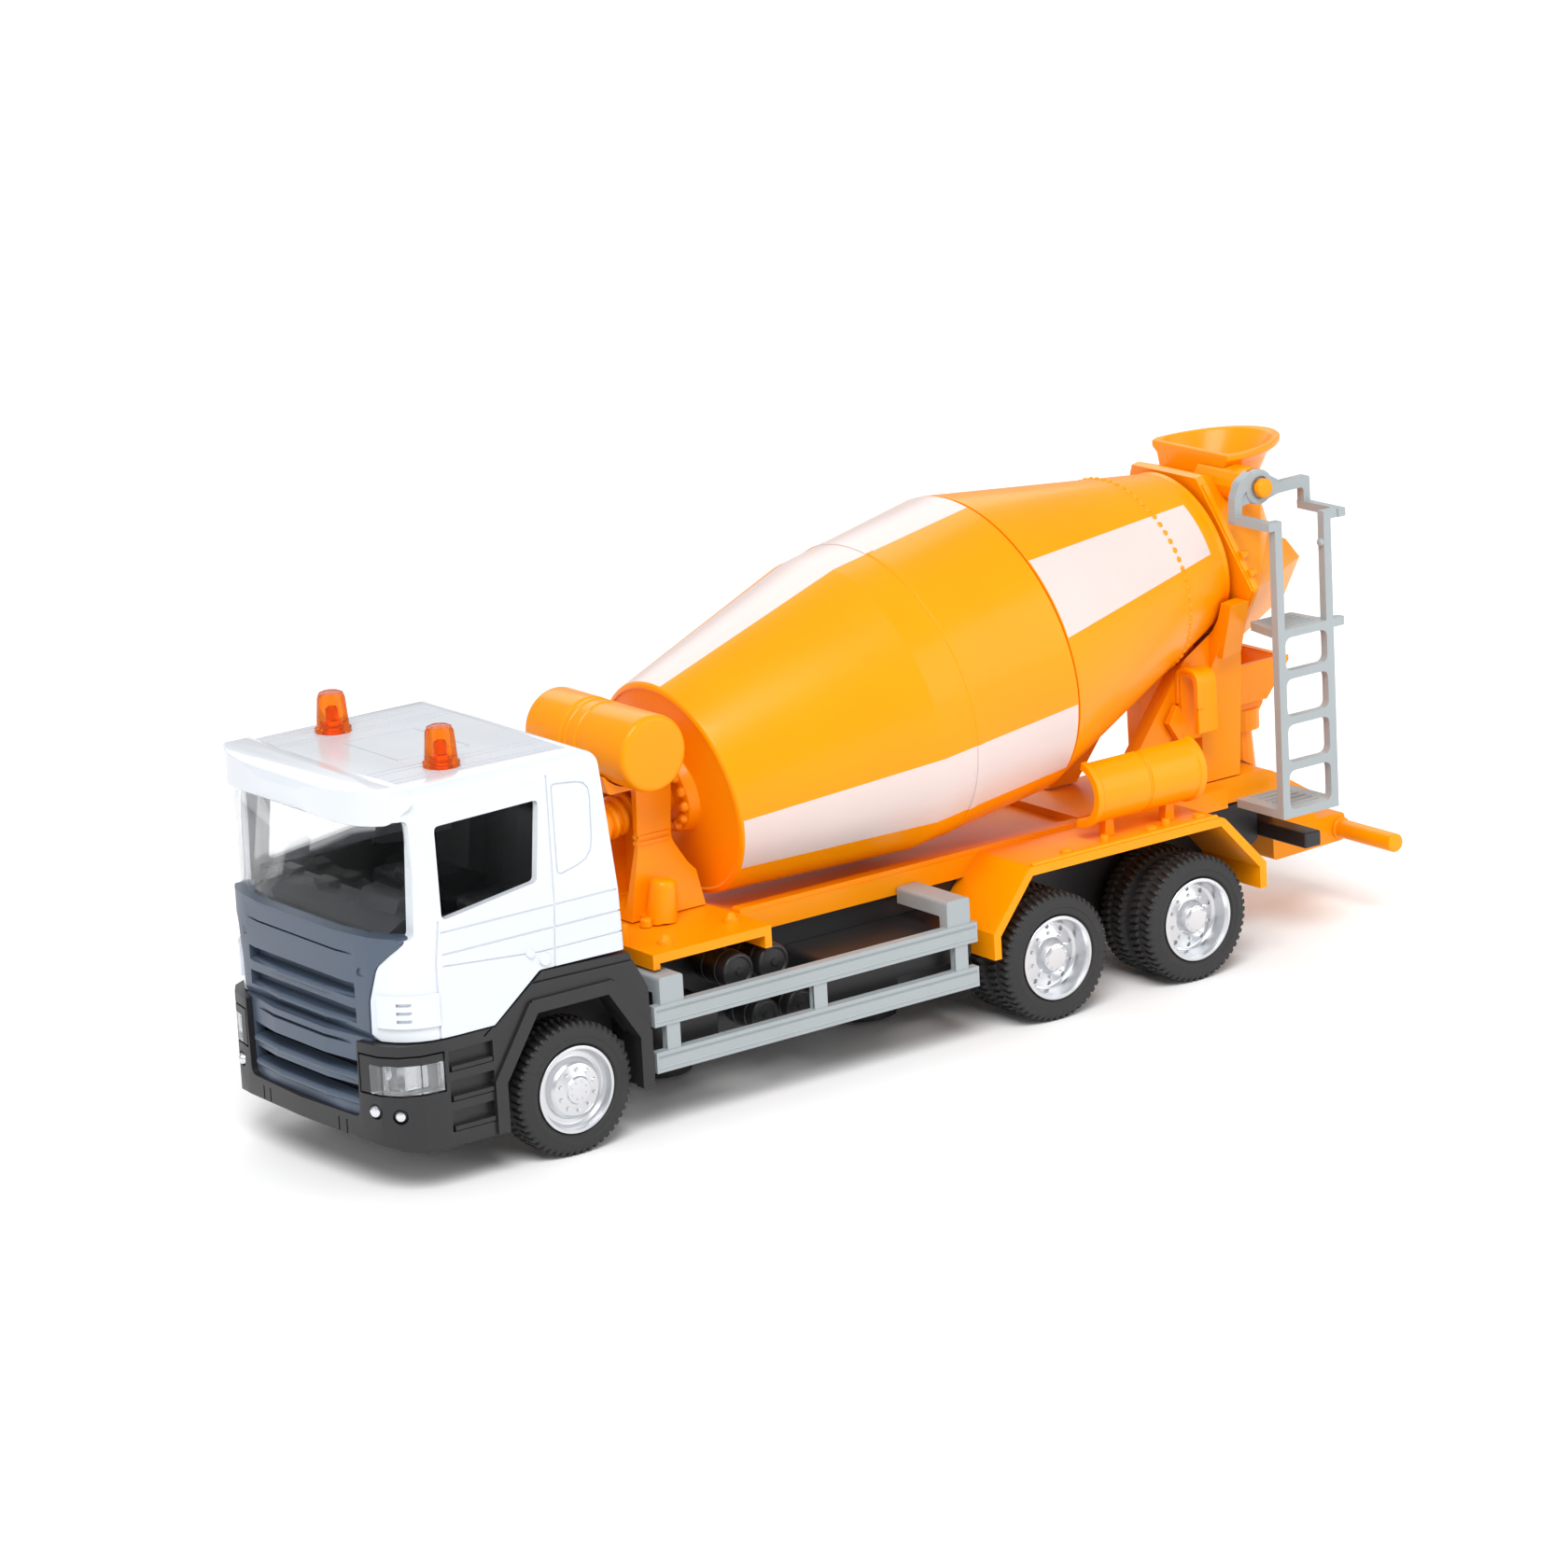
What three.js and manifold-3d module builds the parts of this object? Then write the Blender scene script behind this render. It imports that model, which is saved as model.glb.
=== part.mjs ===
// Toy concrete mixer truck at 1:64, three axles, tilted drum, charging hopper, chute and side ladder.
//
// Frame while modelling, in millimetres: X runs forward from the front axle, Y runs to the truck's left,
// Z runs up from the ground. The exported group is then moved along X so that its origin is the middle of
// its footprint on the ground.

import * as THREE from "three";
import { mergeVertices } from "three/addons/utils/BufferGeometryUtils.js";
import Module from "manifold-3d";

const wasm = await Module();
wasm.setup();

// ---------------------------------------------------------------- driving dimensions

const HALF_WIDTH = 19.8; // outer faces of the tyres, guards and fenders
const NOSE_X = 26.6; // front of the bumper
const TAIL_X = -134.2; // back of the round tail bar
const FRONT_AXLE_X = 0;
const MID_AXLE_X = -74.3;
const REAR_AXLE_X = -97.5;
const TYRE_R = 8.3; // also the height of all three axles
const AXLE_R = 0.9;
const AXLE_CLEARANCE = 0.25;
const GAP = 0.2; // between pieces that are assembled against each other
const FIT_GAP = 0.06; // round a pressed-in pin or rim

// Drum: its axis lies in the middle plane and rises towards the back.
const DRUM_TILT = THREE.MathUtils.degToRad(10.66);
const DRUM_FRONT = new THREE.Vector3(-29.9, 0, 35.8); // middle of the flat front face
const DRUM_FRONT_R = 14;
const DRUM_SHOULDER_R = 19.7;
const DRUM_BELLY_R = 20.4;
const DRUM_SHOULDER_AT = 28; // distances along the drum axis from the front face
const DRUM_BELLY_AT = 49.4;
const DRUM_NECK_AT = 82.6;
const DRUM_BACK_AT = 83.6;
const DRUM_NECK_R = 11.1;
const DRUM_WALL = 1.3;
const TRUNNION_R = 2.2;

// Cab.
const CAB_BACK_X = -8.6;
const CAB_ROOF_Z = 49.6;
const CAB_SILL_Z = 18.9;
const CAB_WALL = 1.3;
const CAB_HALF_WIDTH = 19.6;
const ROOF_HALF_WIDTH = 17.8;

// Superstructure.
const DECK_TOP_Z = 21.6;
const RAIL_LOW_Z = 18.2;
const RAIL_OUT_Y = 9.2;

// ---------------------------------------------------------------- solid helpers

const ROUND_SIDES = 20;

/** A closed three.js geometry as a manifold solid, turned outside out if it came inside out. */
function solid(geometry) {
  const bare = geometry.index ? geometry.toNonIndexed() : geometry.clone();
  bare.deleteAttribute("normal");
  bare.deleteAttribute("uv");
  const merged = mergeVertices(bare, 1e-4);
  const vertProperties = new Float32Array(merged.attributes.position.array);
  const corners = Array.from(merged.index.array);
  const triVerts = corners.filter((_, i) => {
    const start = i - (i % 3);
    const [a, b, c] = corners.slice(start, start + 3);
    return a !== b && b !== c && c !== a;
  });
  const make = (tris) =>
    new wasm.Manifold(new wasm.Mesh({ numProp: 3, vertProperties, triVerts: new Uint32Array(tris) }));
  const made = make(triVerts);
  return made.volume() < 0 ? make(triVerts.toReversed()) : made;
}

/** A manifold solid as a flat-shaded three.js geometry. */
function geometryOf(shape) {
  const mesh = shape.getMesh();
  const positions = new Float32Array(mesh.vertProperties.length);
  positions.set(mesh.vertProperties);
  const geometry = new THREE.BufferGeometry();
  geometry.setAttribute("position", new THREE.BufferAttribute(positions, 3));
  geometry.setIndex(Array.from(mesh.triVerts));
  const flat = geometry.toNonIndexed();
  flat.computeVertexNormals();
  return flat;
}

const join = (...shapes) => shapes.reduce((sum, shape) => sum.add(shape));
const cut = (shape, ...tools) => tools.reduce((rest, tool) => rest.subtract(tool), shape);

/** A box between two opposite corners. */
function box([x0, y0, z0], [x1, y1, z1]) {
  const geometry = new THREE.BoxGeometry(x1 - x0, y1 - y0, z1 - z0);
  geometry.translate((x0 + x1) / 2, (y0 + y1) / 2, (z0 + z1) / 2);
  return solid(geometry);
}

/** A box given for the left side, mirrored onto the side asked for. */
function sideBox(side, [x0, y0, z0], [x1, y1, z1]) {
  return side > 0 ? box([x0, y0, z0], [x1, y1, z1]) : box([x0, -y1, z0], [x1, -y0, z1]);
}

const AXES = {
  x: new THREE.Vector3(1, 0, 0),
  y: new THREE.Vector3(0, 1, 0),
  z: new THREE.Vector3(0, 0, 1),
};

/** Matrix that turns +Y, the axis of three.js' round shapes, onto a direction and moves it to a point. */
function placed(direction, at) {
  const turn = new THREE.Quaternion().setFromUnitVectors(AXES.y, direction.clone().normalize());
  return new THREE.Matrix4().compose(at, turn, new THREE.Vector3(1, 1, 1));
}

/** A round bar between two points, tapering if a second radius is given. */
function bar(from, to, radius, endRadius = radius, sides = ROUND_SIDES) {
  const a = new THREE.Vector3(...from);
  const b = new THREE.Vector3(...to);
  const along = b.clone().sub(a);
  const geometry = new THREE.CylinderGeometry(endRadius, radius, along.length(), sides);
  geometry.applyMatrix4(placed(along, a.clone().addScaledVector(along, 0.5)));
  return solid(geometry);
}

/** A profile of [radius, distance] points turned round a direction that starts at a point. */
function turned(profile, at, direction, sides = ROUND_SIDES) {
  const points = profile.map(([radius, distance]) => new THREE.Vector2(radius, distance));
  const geometry = new THREE.LatheGeometry(points, sides);
  geometry.applyMatrix4(placed(direction, at));
  return solid(geometry);
}

const MOST_OF_EDGE = 0.45; // share of an edge that a rounded corner may use up

/** A closed outline from plain points, each [a, b] or [a, b, cornerRadius]. */
function outline(corners) {
  const shape = new THREE.Shape();
  const points = corners.map(([a, b]) => new THREE.Vector2(a, b));
  corners.forEach(([, , wanted = 0], i) => {
    const here = points[i];
    const back = points.at(i - 1).clone().sub(here);
    const ahead = points[(i + 1) % points.length].clone().sub(here);
    const radius = Math.min(wanted, MOST_OF_EDGE * back.length(), MOST_OF_EDGE * ahead.length());
    const into = back.setLength(radius).add(here);
    const out = ahead.setLength(radius).add(here);
    if (i === 0) shape.moveTo(into.x, into.y);
    else shape.lineTo(into.x, into.y);
    if (radius > 0) shape.quadraticCurveTo(here.x, here.y, out.x, out.y);
  });
  shape.closePath();
  return shape;
}

const CORNER_STEPS = 4;

/** An outline pushed from one coordinate to another along an axis; the outline is in the other two axes. */
function pushed(shape, axis, from, to) {
  const settings = { depth: to - from, bevelEnabled: false, curveSegments: CORNER_STEPS };
  const geometry = new THREE.ExtrudeGeometry(shape, settings);
  const turn = new THREE.Matrix4();
  if (axis === "x") turn.makeBasis(AXES.y, AXES.z, AXES.x).setPosition(from, 0, 0);
  if (axis === "y") turn.makeBasis(AXES.x, AXES.z, AXES.y.clone().negate()).setPosition(0, to, 0);
  if (axis === "z") turn.setPosition(0, 0, from);
  geometry.applyMatrix4(turn);
  return solid(geometry);
}

/** An outline in X and Z pushed along Y, given for the left side and mirrored onto the side asked for. */
function sidePlate(side, corners, near, far) {
  const [from, to] = side > 0 ? [near, far] : [-far, -near];
  return pushed(outline(corners), "y", from, to);
}

/** The smallest solid without hollows that holds all the given ones. */
const wrapped = (...shapes) => wasm.Manifold.hull(shapes);

// ---------------------------------------------------------------- materials

const finish = (color, roughness, metalness = 0) =>
  new THREE.MeshStandardMaterial({ color, roughness, metalness });

const WHITE_GLOSS = finish(0xf4f7fb, 0.22);
const SMOKED_CLEAR = finish(0x9fa8b0, 0.05);
const DARK_TRIM = finish(0x2e2f33, 0.6);
const BLACK_PLASTIC = finish(0x26272a, 0.45);
const SLATE_PLASTIC = finish(0x4d5868, 0.35);
const GREY_PLASTIC = finish(0xa7b0b2, 0.4);
const YELLOW_PLASTIC = finish(0xffa300, 0.28);
const CLEAR_LENS = finish(0xd9dde2, 0.05);
const AMBER_LENS = finish(0xee4a08, 0.1);
const TYRE_RUBBER = finish(0x303032, 0.7);
const BRIGHT_RIM = finish(0xd6d8da, 0.2, 0.9);
const STEEL = finish(0xb9bcc0, 0.3, 1);

const truck = new THREE.Group();

/** Adds one named piece to the truck. */
function piece(name, shape, material) {
  const mesh = new THREE.Mesh(geometryOf(shape), material);
  mesh.name = name;
  truck.add(mesh);
}

const SIDES = [
  ["left", 1],
  ["right", -1],
];

// ---------------------------------------------------------------- wheels and axles

const RIM_SEAT_R = 5.5; // where the tyre sits on its rim
const FRONT_TYRE_W = 5.6;
const DUAL_TYRE_W = 4.7;
const DUAL_GAP = 0.9;
const DUAL_W = 2 * DUAL_TYRE_W + DUAL_GAP;
const SHOULDER = 0.55; // chamfer between tread and side wall
const HUB_PROUD = 0.5; // hub cap beyond the tyre's outer face

/** The tyre's section: bore, inner wall, tread, outer wall. Distances run inwards from the outer face. */
function tyreSection(width, start) {
  const seat = RIM_SEAT_R + FIT_GAP;
  const wall = TYRE_R - SHOULDER;
  return [
    [wall, start],
    [TYRE_R, start + SHOULDER],
    [TYRE_R, start + width - SHOULDER],
    [wall, start + width],
    [seat, start + width],
  ];
}

const inwards = (side) => new THREE.Vector3(0, -side, 0);
const wheelFace = (x, side) => new THREE.Vector3(x, side * HALF_WIDTH, TYRE_R);

/** A profile that starts and ends on the bore, closed on itself and turned about the wheel's axle. */
function wheelPart(profile, x, side) {
  const closed = [...profile, profile[0]].reverse();
  return turned(closed, wheelFace(x, side), inwards(side));
}

function frontTyre(x, side) {
  const seat = RIM_SEAT_R + FIT_GAP;
  return wheelPart([[seat, 0], ...tyreSection(FRONT_TYRE_W, 0)], x, side);
}

/** Two tyres moulded as one, with the gap between them left as a deep groove. */
function dualTyre(x, side) {
  const seat = RIM_SEAT_R + FIT_GAP;
  const grooveR = TYRE_R - 1.8;
  const inner = DUAL_TYRE_W + DUAL_GAP;
  const profile = [
    [seat, 0],
    ...tyreSection(DUAL_TYRE_W, 0).slice(0, 4),
    [grooveR, DUAL_TYRE_W],
    [grooveR, inner],
    ...tyreSection(DUAL_TYRE_W, inner),
  ];
  return wheelPart(profile, x, side);
}

/** Front rim: a shallow face with a domed hub standing just proud of the tyre. */
function frontRim(x, side) {
  const bore = AXLE_R + FIT_GAP;
  const profile = [
    [bore, -HUB_PROUD],
    [2, -HUB_PROUD],
    [3.1, 0.3],
    [3.5, 1.3],
    [4.6, 1.3],
    [4.9, 0.1],
    [RIM_SEAT_R, 0.1],
    [RIM_SEAT_R, FRONT_TYRE_W],
    [bore, FRONT_TYRE_W],
  ];
  return wheelPart(profile, x, side);
}

/** Rear rim: a deep dish whose hub reaches back out almost to the tyre's face. */
function dualRim(x, side) {
  const bore = AXLE_R + FIT_GAP;
  const profile = [
    [bore, 0.4],
    [1.7, 0.4],
    [1.9, 2.6],
    [4.3, 3.0],
    [4.9, 0.1],
    [RIM_SEAT_R, 0.1],
    [RIM_SEAT_R, DUAL_W],
    [bore, DUAL_W],
  ];
  return wheelPart(profile, x, side);
}

const AXLE_INSET = 0.9; // from the tyre's outer face to the axle's end

function addAxle(name, x, tyre, rim) {
  const reach = HALF_WIDTH - AXLE_INSET;
  piece(`${name}_axle`, bar([x, -reach, TYRE_R], [x, reach, TYRE_R], AXLE_R), STEEL);
  for (const [sideName, side] of SIDES) {
    piece(`tyre_${name}_${sideName}`, tyre(x, side), TYRE_RUBBER);
    piece(`rim_${name}_${sideName}`, rim(x, side), BRIGHT_RIM);
  }
}

addAxle("front", FRONT_AXLE_X, frontTyre, frontRim);
addAxle("middle", MID_AXLE_X, dualTyre, dualRim);
addAxle("rear", REAR_AXLE_X, dualTyre, dualRim);

// ---------------------------------------------------------------- chassis

const FRAME_HALF_WIDTH = 8.2;
const FRAME_TOP_Z = RAIL_LOW_Z - GAP;
const FRAME_LOW_Z = 6.2;
const FRAME_BACK_X = -117.8;
const FRAME_FRONT_X = 9;

/** Slot across the frame that an axle turns in. */
function axleHole(x) {
  const reach = FRAME_HALF_WIDTH + 1;
  return bar([x, -reach, TYRE_R], [x, reach, TYRE_R], AXLE_R + AXLE_CLEARANCE);
}

const SCREW_XS = [-25.5, -57.8];
const SCREW_BOSS_R = 4.4;
const SCREW_BOSS_LOW_Z = 0.6;
const SCREW_HEAD_R = 1.7;
const SCREW_HEAD_H = 1.1;

/** Frame channel, open below between its side members, with screw bosses and a tapered tail. */
function chassisFrame() {
  const wall = 1.6;
  const floorZ = 15.4;
  const body = box(
    [FRAME_BACK_X, -FRAME_HALF_WIDTH, FRAME_LOW_Z],
    [FRAME_FRONT_X, FRAME_HALF_WIDTH, FRAME_TOP_Z],
  );
  const hollow = box(
    [FRAME_BACK_X - 1, wall - FRAME_HALF_WIDTH, FRAME_LOW_Z - 1],
    [FRAME_FRONT_X - wall, FRAME_HALF_WIDTH - wall, floorZ],
  );
  const tailCut = pushed(
    outline([
      [FRAME_BACK_X - 1, FRAME_LOW_Z - 1],
      [FRAME_BACK_X + 12, FRAME_LOW_Z - 1],
      [FRAME_BACK_X - 1, 13.4],
    ]),
    "y",
    -FRAME_HALF_WIDTH - 1,
    FRAME_HALF_WIDTH + 1,
  );
  const bosses = SCREW_XS.map((x) => bar([x, 0, SCREW_BOSS_LOW_Z], [x, 0, floorZ + 1], SCREW_BOSS_R));
  const seats = SCREW_XS.map((x) =>
    bar([x, 0, SCREW_BOSS_LOW_Z - 1], [x, 0, SCREW_BOSS_LOW_Z + SCREW_HEAD_H + GAP], SCREW_HEAD_R + GAP),
  );
  const axleHoles = [MID_AXLE_X, REAR_AXLE_X, FRONT_AXLE_X].map(axleHole);
  return cut(join(cut(body, hollow, tailCut), ...bosses), ...seats, ...axleHoles);
}

piece("chassis_frame", chassisFrame(), BLACK_PLASTIC);

SCREW_XS.forEach((x, i) => {
  const slot = 0.5;
  const low = SCREW_BOSS_LOW_Z + 0.1;
  const head = bar([x, 0, low], [x, 0, low + SCREW_HEAD_H], SCREW_HEAD_R, SCREW_HEAD_R, 12);
  const across = box([x - SCREW_HEAD_R, -slot / 2, low - 1], [x + SCREW_HEAD_R, slot / 2, low + 0.5]);
  const along = box([x - slot / 2, -SCREW_HEAD_R, low - 1], [x + slot / 2, SCREW_HEAD_R, low + 0.5]);
  piece(`base_screw_${i + 1}`, cut(head, across, along), STEEL);
});

const TANK_NECK_R = 1.4;

/** A cylinder tank lying across the truck on a short neck, with a chamfered outer end. */
function airTank(side, x, z, radius, near, far) {
  const neckEnd = 1.2;
  const profile = [
    [0, 0],
    [TANK_NECK_R, 0],
    [TANK_NECK_R, neckEnd],
    [radius, neckEnd],
  ];
  profile.push([radius, far - near - 0.6]);
  profile.push([radius - 0.6, far - near]);
  profile.push([0, far - near]);
  const start = new THREE.Vector3(x, side * near, z);
  return turned(profile, start, new THREE.Vector3(0, side, 0), 12);
}

const TANK_NEAR_Y = FRAME_HALF_WIDTH + GAP;
const TANK_FAR_Y = 16.6;
const UPPER_TANK_Z = 16.4;
const LOWER_TANK_Z = 9.6;

for (const [sideName, side] of SIDES) {
  [-27, -32.4].forEach((x, i) => {
    const upper = airTank(side, x, UPPER_TANK_Z, 2.3, TANK_NEAR_Y, TANK_FAR_Y);
    const lower = airTank(side, x - 4.3, LOWER_TANK_Z, 2.1, TANK_NEAR_Y, TANK_FAR_Y - 0.8);
    piece(`upper_tank_${sideName}_${i + 1}`, upper, BLACK_PLASTIC);
    piece(`lower_tank_${sideName}_${i + 1}`, lower, BLACK_PLASTIC);
  });
  const fuel = sidePlate(
    side,
    [
      [-39.6, 6.6, 1],
      [-39.6, 15.2, 1],
      [-62.6, 15.2, 1],
      [-62.6, 10.4, 1],
      [-50.8, 10.4],
      [-50.8, 6.6, 1],
    ],
    TANK_NEAR_Y,
    17,
  );
  piece(`fuel_tank_${sideName}`, fuel, BLACK_PLASTIC);
  const batteryLow = 9.2;
  const battery = sideBox(side, [-23.6, TANK_NEAR_Y, batteryLow], [-13.4, 16.6, 13.6]);
  piece(`battery_box_${sideName}`, battery, BLACK_PLASTIC);
}

// ---------------------------------------------------------------- side guards

const GUARD_BACK_X = -61.5;
const GUARD_FRONT_X = -11.8;
const GUARD_LOW = [7.5, 10.1];
const GUARD_TOP = [13.3, 15.9];
const GUARD_ARM_TOP_Z = 19.3;
const GUARD_ARM_XS = [
  [-16.4, -12.9],
  [-60.6, -57.0],
];

/** Two rails, three posts and two arms that reach in to the frame. */
function sideGuard(side) {
  const railIn = HALF_WIDTH - 1.3;
  const postIn = HALF_WIDTH - 1.2;
  const postOut = HALF_WIDTH - 0.3;
  const postHalf = 1;
  const rails = [GUARD_LOW, GUARD_TOP].map(([low, high]) =>
    sideBox(side, [GUARD_BACK_X, railIn, low], [GUARD_FRONT_X, HALF_WIDTH, high]),
  );
  const posts = [-14.6, -36.9, -59].map((x) =>
    sideBox(side, [x - postHalf, postIn, GUARD_LOW[0] + 0.5], [x + postHalf, postOut, GUARD_TOP[1] - 0.5]),
  );
  const arms = GUARD_ARM_XS.map(([back, front]) => {
    const armLow = 17.2;
    const riser = sideBox(side, [back, railIn - 0.5, GUARD_TOP[0] + 1], [front, HALF_WIDTH - 0.2, armLow + 1]);
    const beam = sidePlate(
      side,
      [
        [back, armLow],
        [front, armLow],
        [front, GUARD_ARM_TOP_Z, 0.5],
        [back, GUARD_ARM_TOP_Z, 0.5],
      ],
      RAIL_OUT_Y + GAP,
      HALF_WIDTH - 0.2,
    );
    return join(riser, beam);
  });
  return join(...rails, ...posts, ...arms);
}

for (const [sideName, side] of SIDES) {
  piece(`side_guard_${sideName}`, sideGuard(side), GREY_PLASTIC);
}

// ---------------------------------------------------------------- cab

const WHEEL_ARCH_R = 9.6;

/** Side view of the cab's white shell from the sill up to the roof. */
function cabOutline(inset) {
  return outline([
    [CAB_BACK_X + inset, 16],
    [21.6 - inset, 16],
    [25.4 - inset, 21.1, 1],
    [25.6 - inset, 30.2, 1],
    [23.2 - inset, 45.6],
    [25.8 - inset, 46.6, 0.4],
    [25.4 - inset, CAB_ROOF_Z - 0.4 - inset, inset > 0 ? 0 : 1.6],
    [-6.6 + inset, CAB_ROOF_Z - inset, 1.6],
  ]);
}

/** Plan view: full width behind, with big round front corners. */
function cabPlan(inset) {
  const half = CAB_HALF_WIDTH - inset;
  const nose = NOSE_X - 0.6 - inset;
  return outline([
    [CAB_BACK_X - 1 + inset, -half],
    [nose - 0.8, -half, 6],
    [nose + 0.6, 0],
    [nose - 0.8, half, 6],
    [CAB_BACK_X - 1 + inset, half],
  ]);
}

/** Front view: upright to the belt line, then leaning in to the roof. */
function cabFront(inset) {
  const half = CAB_HALF_WIDTH - inset;
  const roofHalf = ROOF_HALF_WIDTH - inset;
  return outline([
    [-half, 8],
    [half, 8],
    [half, 31],
    [roofHalf, CAB_ROOF_Z - inset, 2.2],
    [-roofHalf, CAB_ROOF_Z - inset, 2.2],
    [-half, 31],
  ]);
}

/** The cab's outside drawn in by an inset, from a lower edge upwards. */
function cabForm(inset, low) {
  const side = pushed(cabOutline(inset), "y", -HALF_WIDTH - 1, HALF_WIDTH + 1);
  const plan = pushed(cabPlan(inset), "z", 0, CAB_ROOF_Z + 1);
  const front = pushed(cabFront(inset), "x", CAB_BACK_X - 2, NOSE_X + 1);
  const above = box([-50, -50, low], [50, 50, CAB_ROOF_Z + 1]);
  return side.intersect(plan).intersect(front).intersect(above);
}

const SIDE_WINDOW = [
  [17.6, 33.4, 0.6],
  [17.2, 44.2, 0.6],
  [3.6, 44.6, 0.6],
  [4.8, 35.2, 0.6],
];
const SCREEN_LOW_Z = 31.4;
const SCREEN_TOP_Z = 45.4;
const SCREEN_BACK_X = 20.6; // the screen wraps round the front corners as far as here
const GRILLE_HALF_WIDTH = 16.9;
const GRILLE_SHOULDER_Z = 27.6;
const GRILLE_SHOULDER_HALF_WIDTH = 13.2;
const GRILLE_TOP_Z = 30.8;
const GRILLE_SPLIT_Z = 18.6;
const GRILLE_LOW_Z = 9.4;
const GRILLE_LOW_HALF_WIDTH = 11.8;
const CAB_FACE_X = 23.6; // back of the pocket that the grille sits in

/** Grille's front view: wide along the screen, drawn in below a shoulder, straight down into the bumper. */
function grilleFront(grow) {
  const wide = GRILLE_HALF_WIDTH + grow;
  const narrow = GRILLE_LOW_HALF_WIDTH + grow;
  const shoulder = GRILLE_SHOULDER_HALF_WIDTH + grow;
  return outline([
    [-narrow, GRILLE_LOW_Z - grow, 1],
    [narrow, GRILLE_LOW_Z - grow, 1],
    [narrow + 0.3, GRILLE_SPLIT_Z + 4],
    [shoulder, GRILLE_SHOULDER_Z],
    [wide, GRILLE_TOP_Z + grow],
    [-wide, GRILLE_TOP_Z + grow],
    [-shoulder, GRILLE_SHOULDER_Z],
    [-narrow - 0.3, GRILLE_SPLIT_Z + 4],
  ]);
}

const ARCH_SPREAD = 15.4;

/** The cut that follows the black wheel arch trim along the white shell's lower edge. */
function archCut(grow) {
  const rise = 24.2 + grow;
  return pushed(
    outline([
      [CAB_BACK_X - 2, CAB_SILL_Z - 4],
      [ARCH_SPREAD - 4.2 + grow, CAB_SILL_Z - 4],
      [ARCH_SPREAD - 4.2 + grow, CAB_SILL_Z],
      [4.1 + grow, rise],
      [CAB_BACK_X - 2, rise - 0.4],
    ]),
    "y",
    -HALF_WIDTH - 1,
    HALF_WIDTH + 1,
  );
}

function cabShell() {
  const hollow = cabForm(CAB_WALL, CAB_SILL_Z - 1);
  const windows = pushed(outline(SIDE_WINDOW), "y", -HALF_WIDTH - 1, HALF_WIDTH + 1);
  const screen = box(
    [SCREEN_BACK_X, -HALF_WIDTH - 1, SCREEN_LOW_Z],
    [NOSE_X + 1, HALF_WIDTH + 1, SCREEN_TOP_Z],
  );
  const grille = pushed(grilleFront(GAP), "x", CAB_FACE_X - GAP, NOSE_X + 1);
  const shell = cut(cabForm(0, CAB_SILL_Z), hollow, windows, screen, grille, archCut(0));
  const lampPegs = BEACON_PLACES.map(([, y]) => beaconPeg(y, BEACON_PEG_R + FIT_GAP));
  return cut(shell, ...lampPegs);
}

const BEACON_X = 11;
const BEACON_R = 2;
const BEACON_TOP_R = 1.65;
const BEACON_H = 4.6;
const BEACON_PEG_R = 0.8;
const BEACON_PLACES = [
  ["left", 11.75],
  ["right", -11.75],
];

const beaconPeg = (y, radius) =>
  bar([BEACON_X, y, CAB_ROOF_Z - CAB_WALL - 0.8], [BEACON_X, y, CAB_ROOF_Z + 0.6], radius, radius, 12);

/** A warning lamp with a foot ring and a peg that plugs into the roof. */
function beacon(y) {
  const foot = CAB_ROOF_Z + 0.1;
  const ring = bar([BEACON_X, y, foot], [BEACON_X, y, foot + 0.6], BEACON_R + 0.25, BEACON_R + 0.25, 16);
  const dome = bar([BEACON_X, y, foot + 0.4], [BEACON_X, y, foot + BEACON_H], BEACON_R, BEACON_TOP_R, 16);
  return join(ring, dome, beaconPeg(y, BEACON_PEG_R));
}

/** One clear moulding inside the shell: the windscreen and both side windows. */
function windowInsert() {
  const outer = cabForm(CAB_WALL + GAP, 31.8);
  const inner = cabForm(CAB_WALL + GAP + 1, 30);
  const top = box([-20, -30, 46.4], [40, 30, 60]);
  const back = box([-20, -30, 0], [2.4, 30, 60]);
  return cut(outer, inner, top, back);
}

const INTERIOR_LOW_Z = 25.2;

/** Floor, dashboard, bench seat and steering wheel in one moulding. */
function cabInterior() {
  const half = CAB_HALF_WIDTH - CAB_WALL - 1.7;
  const floor = box([-6.4, -half, INTERIOR_LOW_Z], [21.4, half, INTERIOR_LOW_Z + 1.2]);
  const dash = pushed(
    outline([
      [15.4, INTERIOR_LOW_Z + 0.6],
      [19.2, INTERIOR_LOW_Z + 0.6],
      [19.2, 32.1],
      [16.2, 33.2, 1],
    ]),
    "y",
    -half,
    half,
  );
  const seatHalf = 5.2;
  const seats = [1, -1].map((side) =>
    sidePlate(
      side,
      [
        [-5.6, INTERIOR_LOW_Z + 0.6],
        [5.2, INTERIOR_LOW_Z + 0.6],
        [5.2, 30.2, 1],
        [-1.6, 30.2],
        [-3.2, 41, 1],
        [-5.6, 41, 1],
      ],
      9.2 - seatHalf,
      9.2 + seatHalf,
    ),
  );
  const column = bar([17.6, 8.6, 31.6], [13.6, 8.6, 34.2], 0.5, 0.5, 8);
  const wheelAxis = new THREE.Vector3(-1, 0, 0.65).normalize();
  const wheel = turned(
    [
      [0, 0],
      [2.7, 0],
      [2.7, 0.7],
      [0, 0.7],
    ],
    new THREE.Vector3(13.8, 8.6, 34),
    wheelAxis,
    14,
  );
  return join(floor, dash, ...seats, column, wheel);
}

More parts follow.
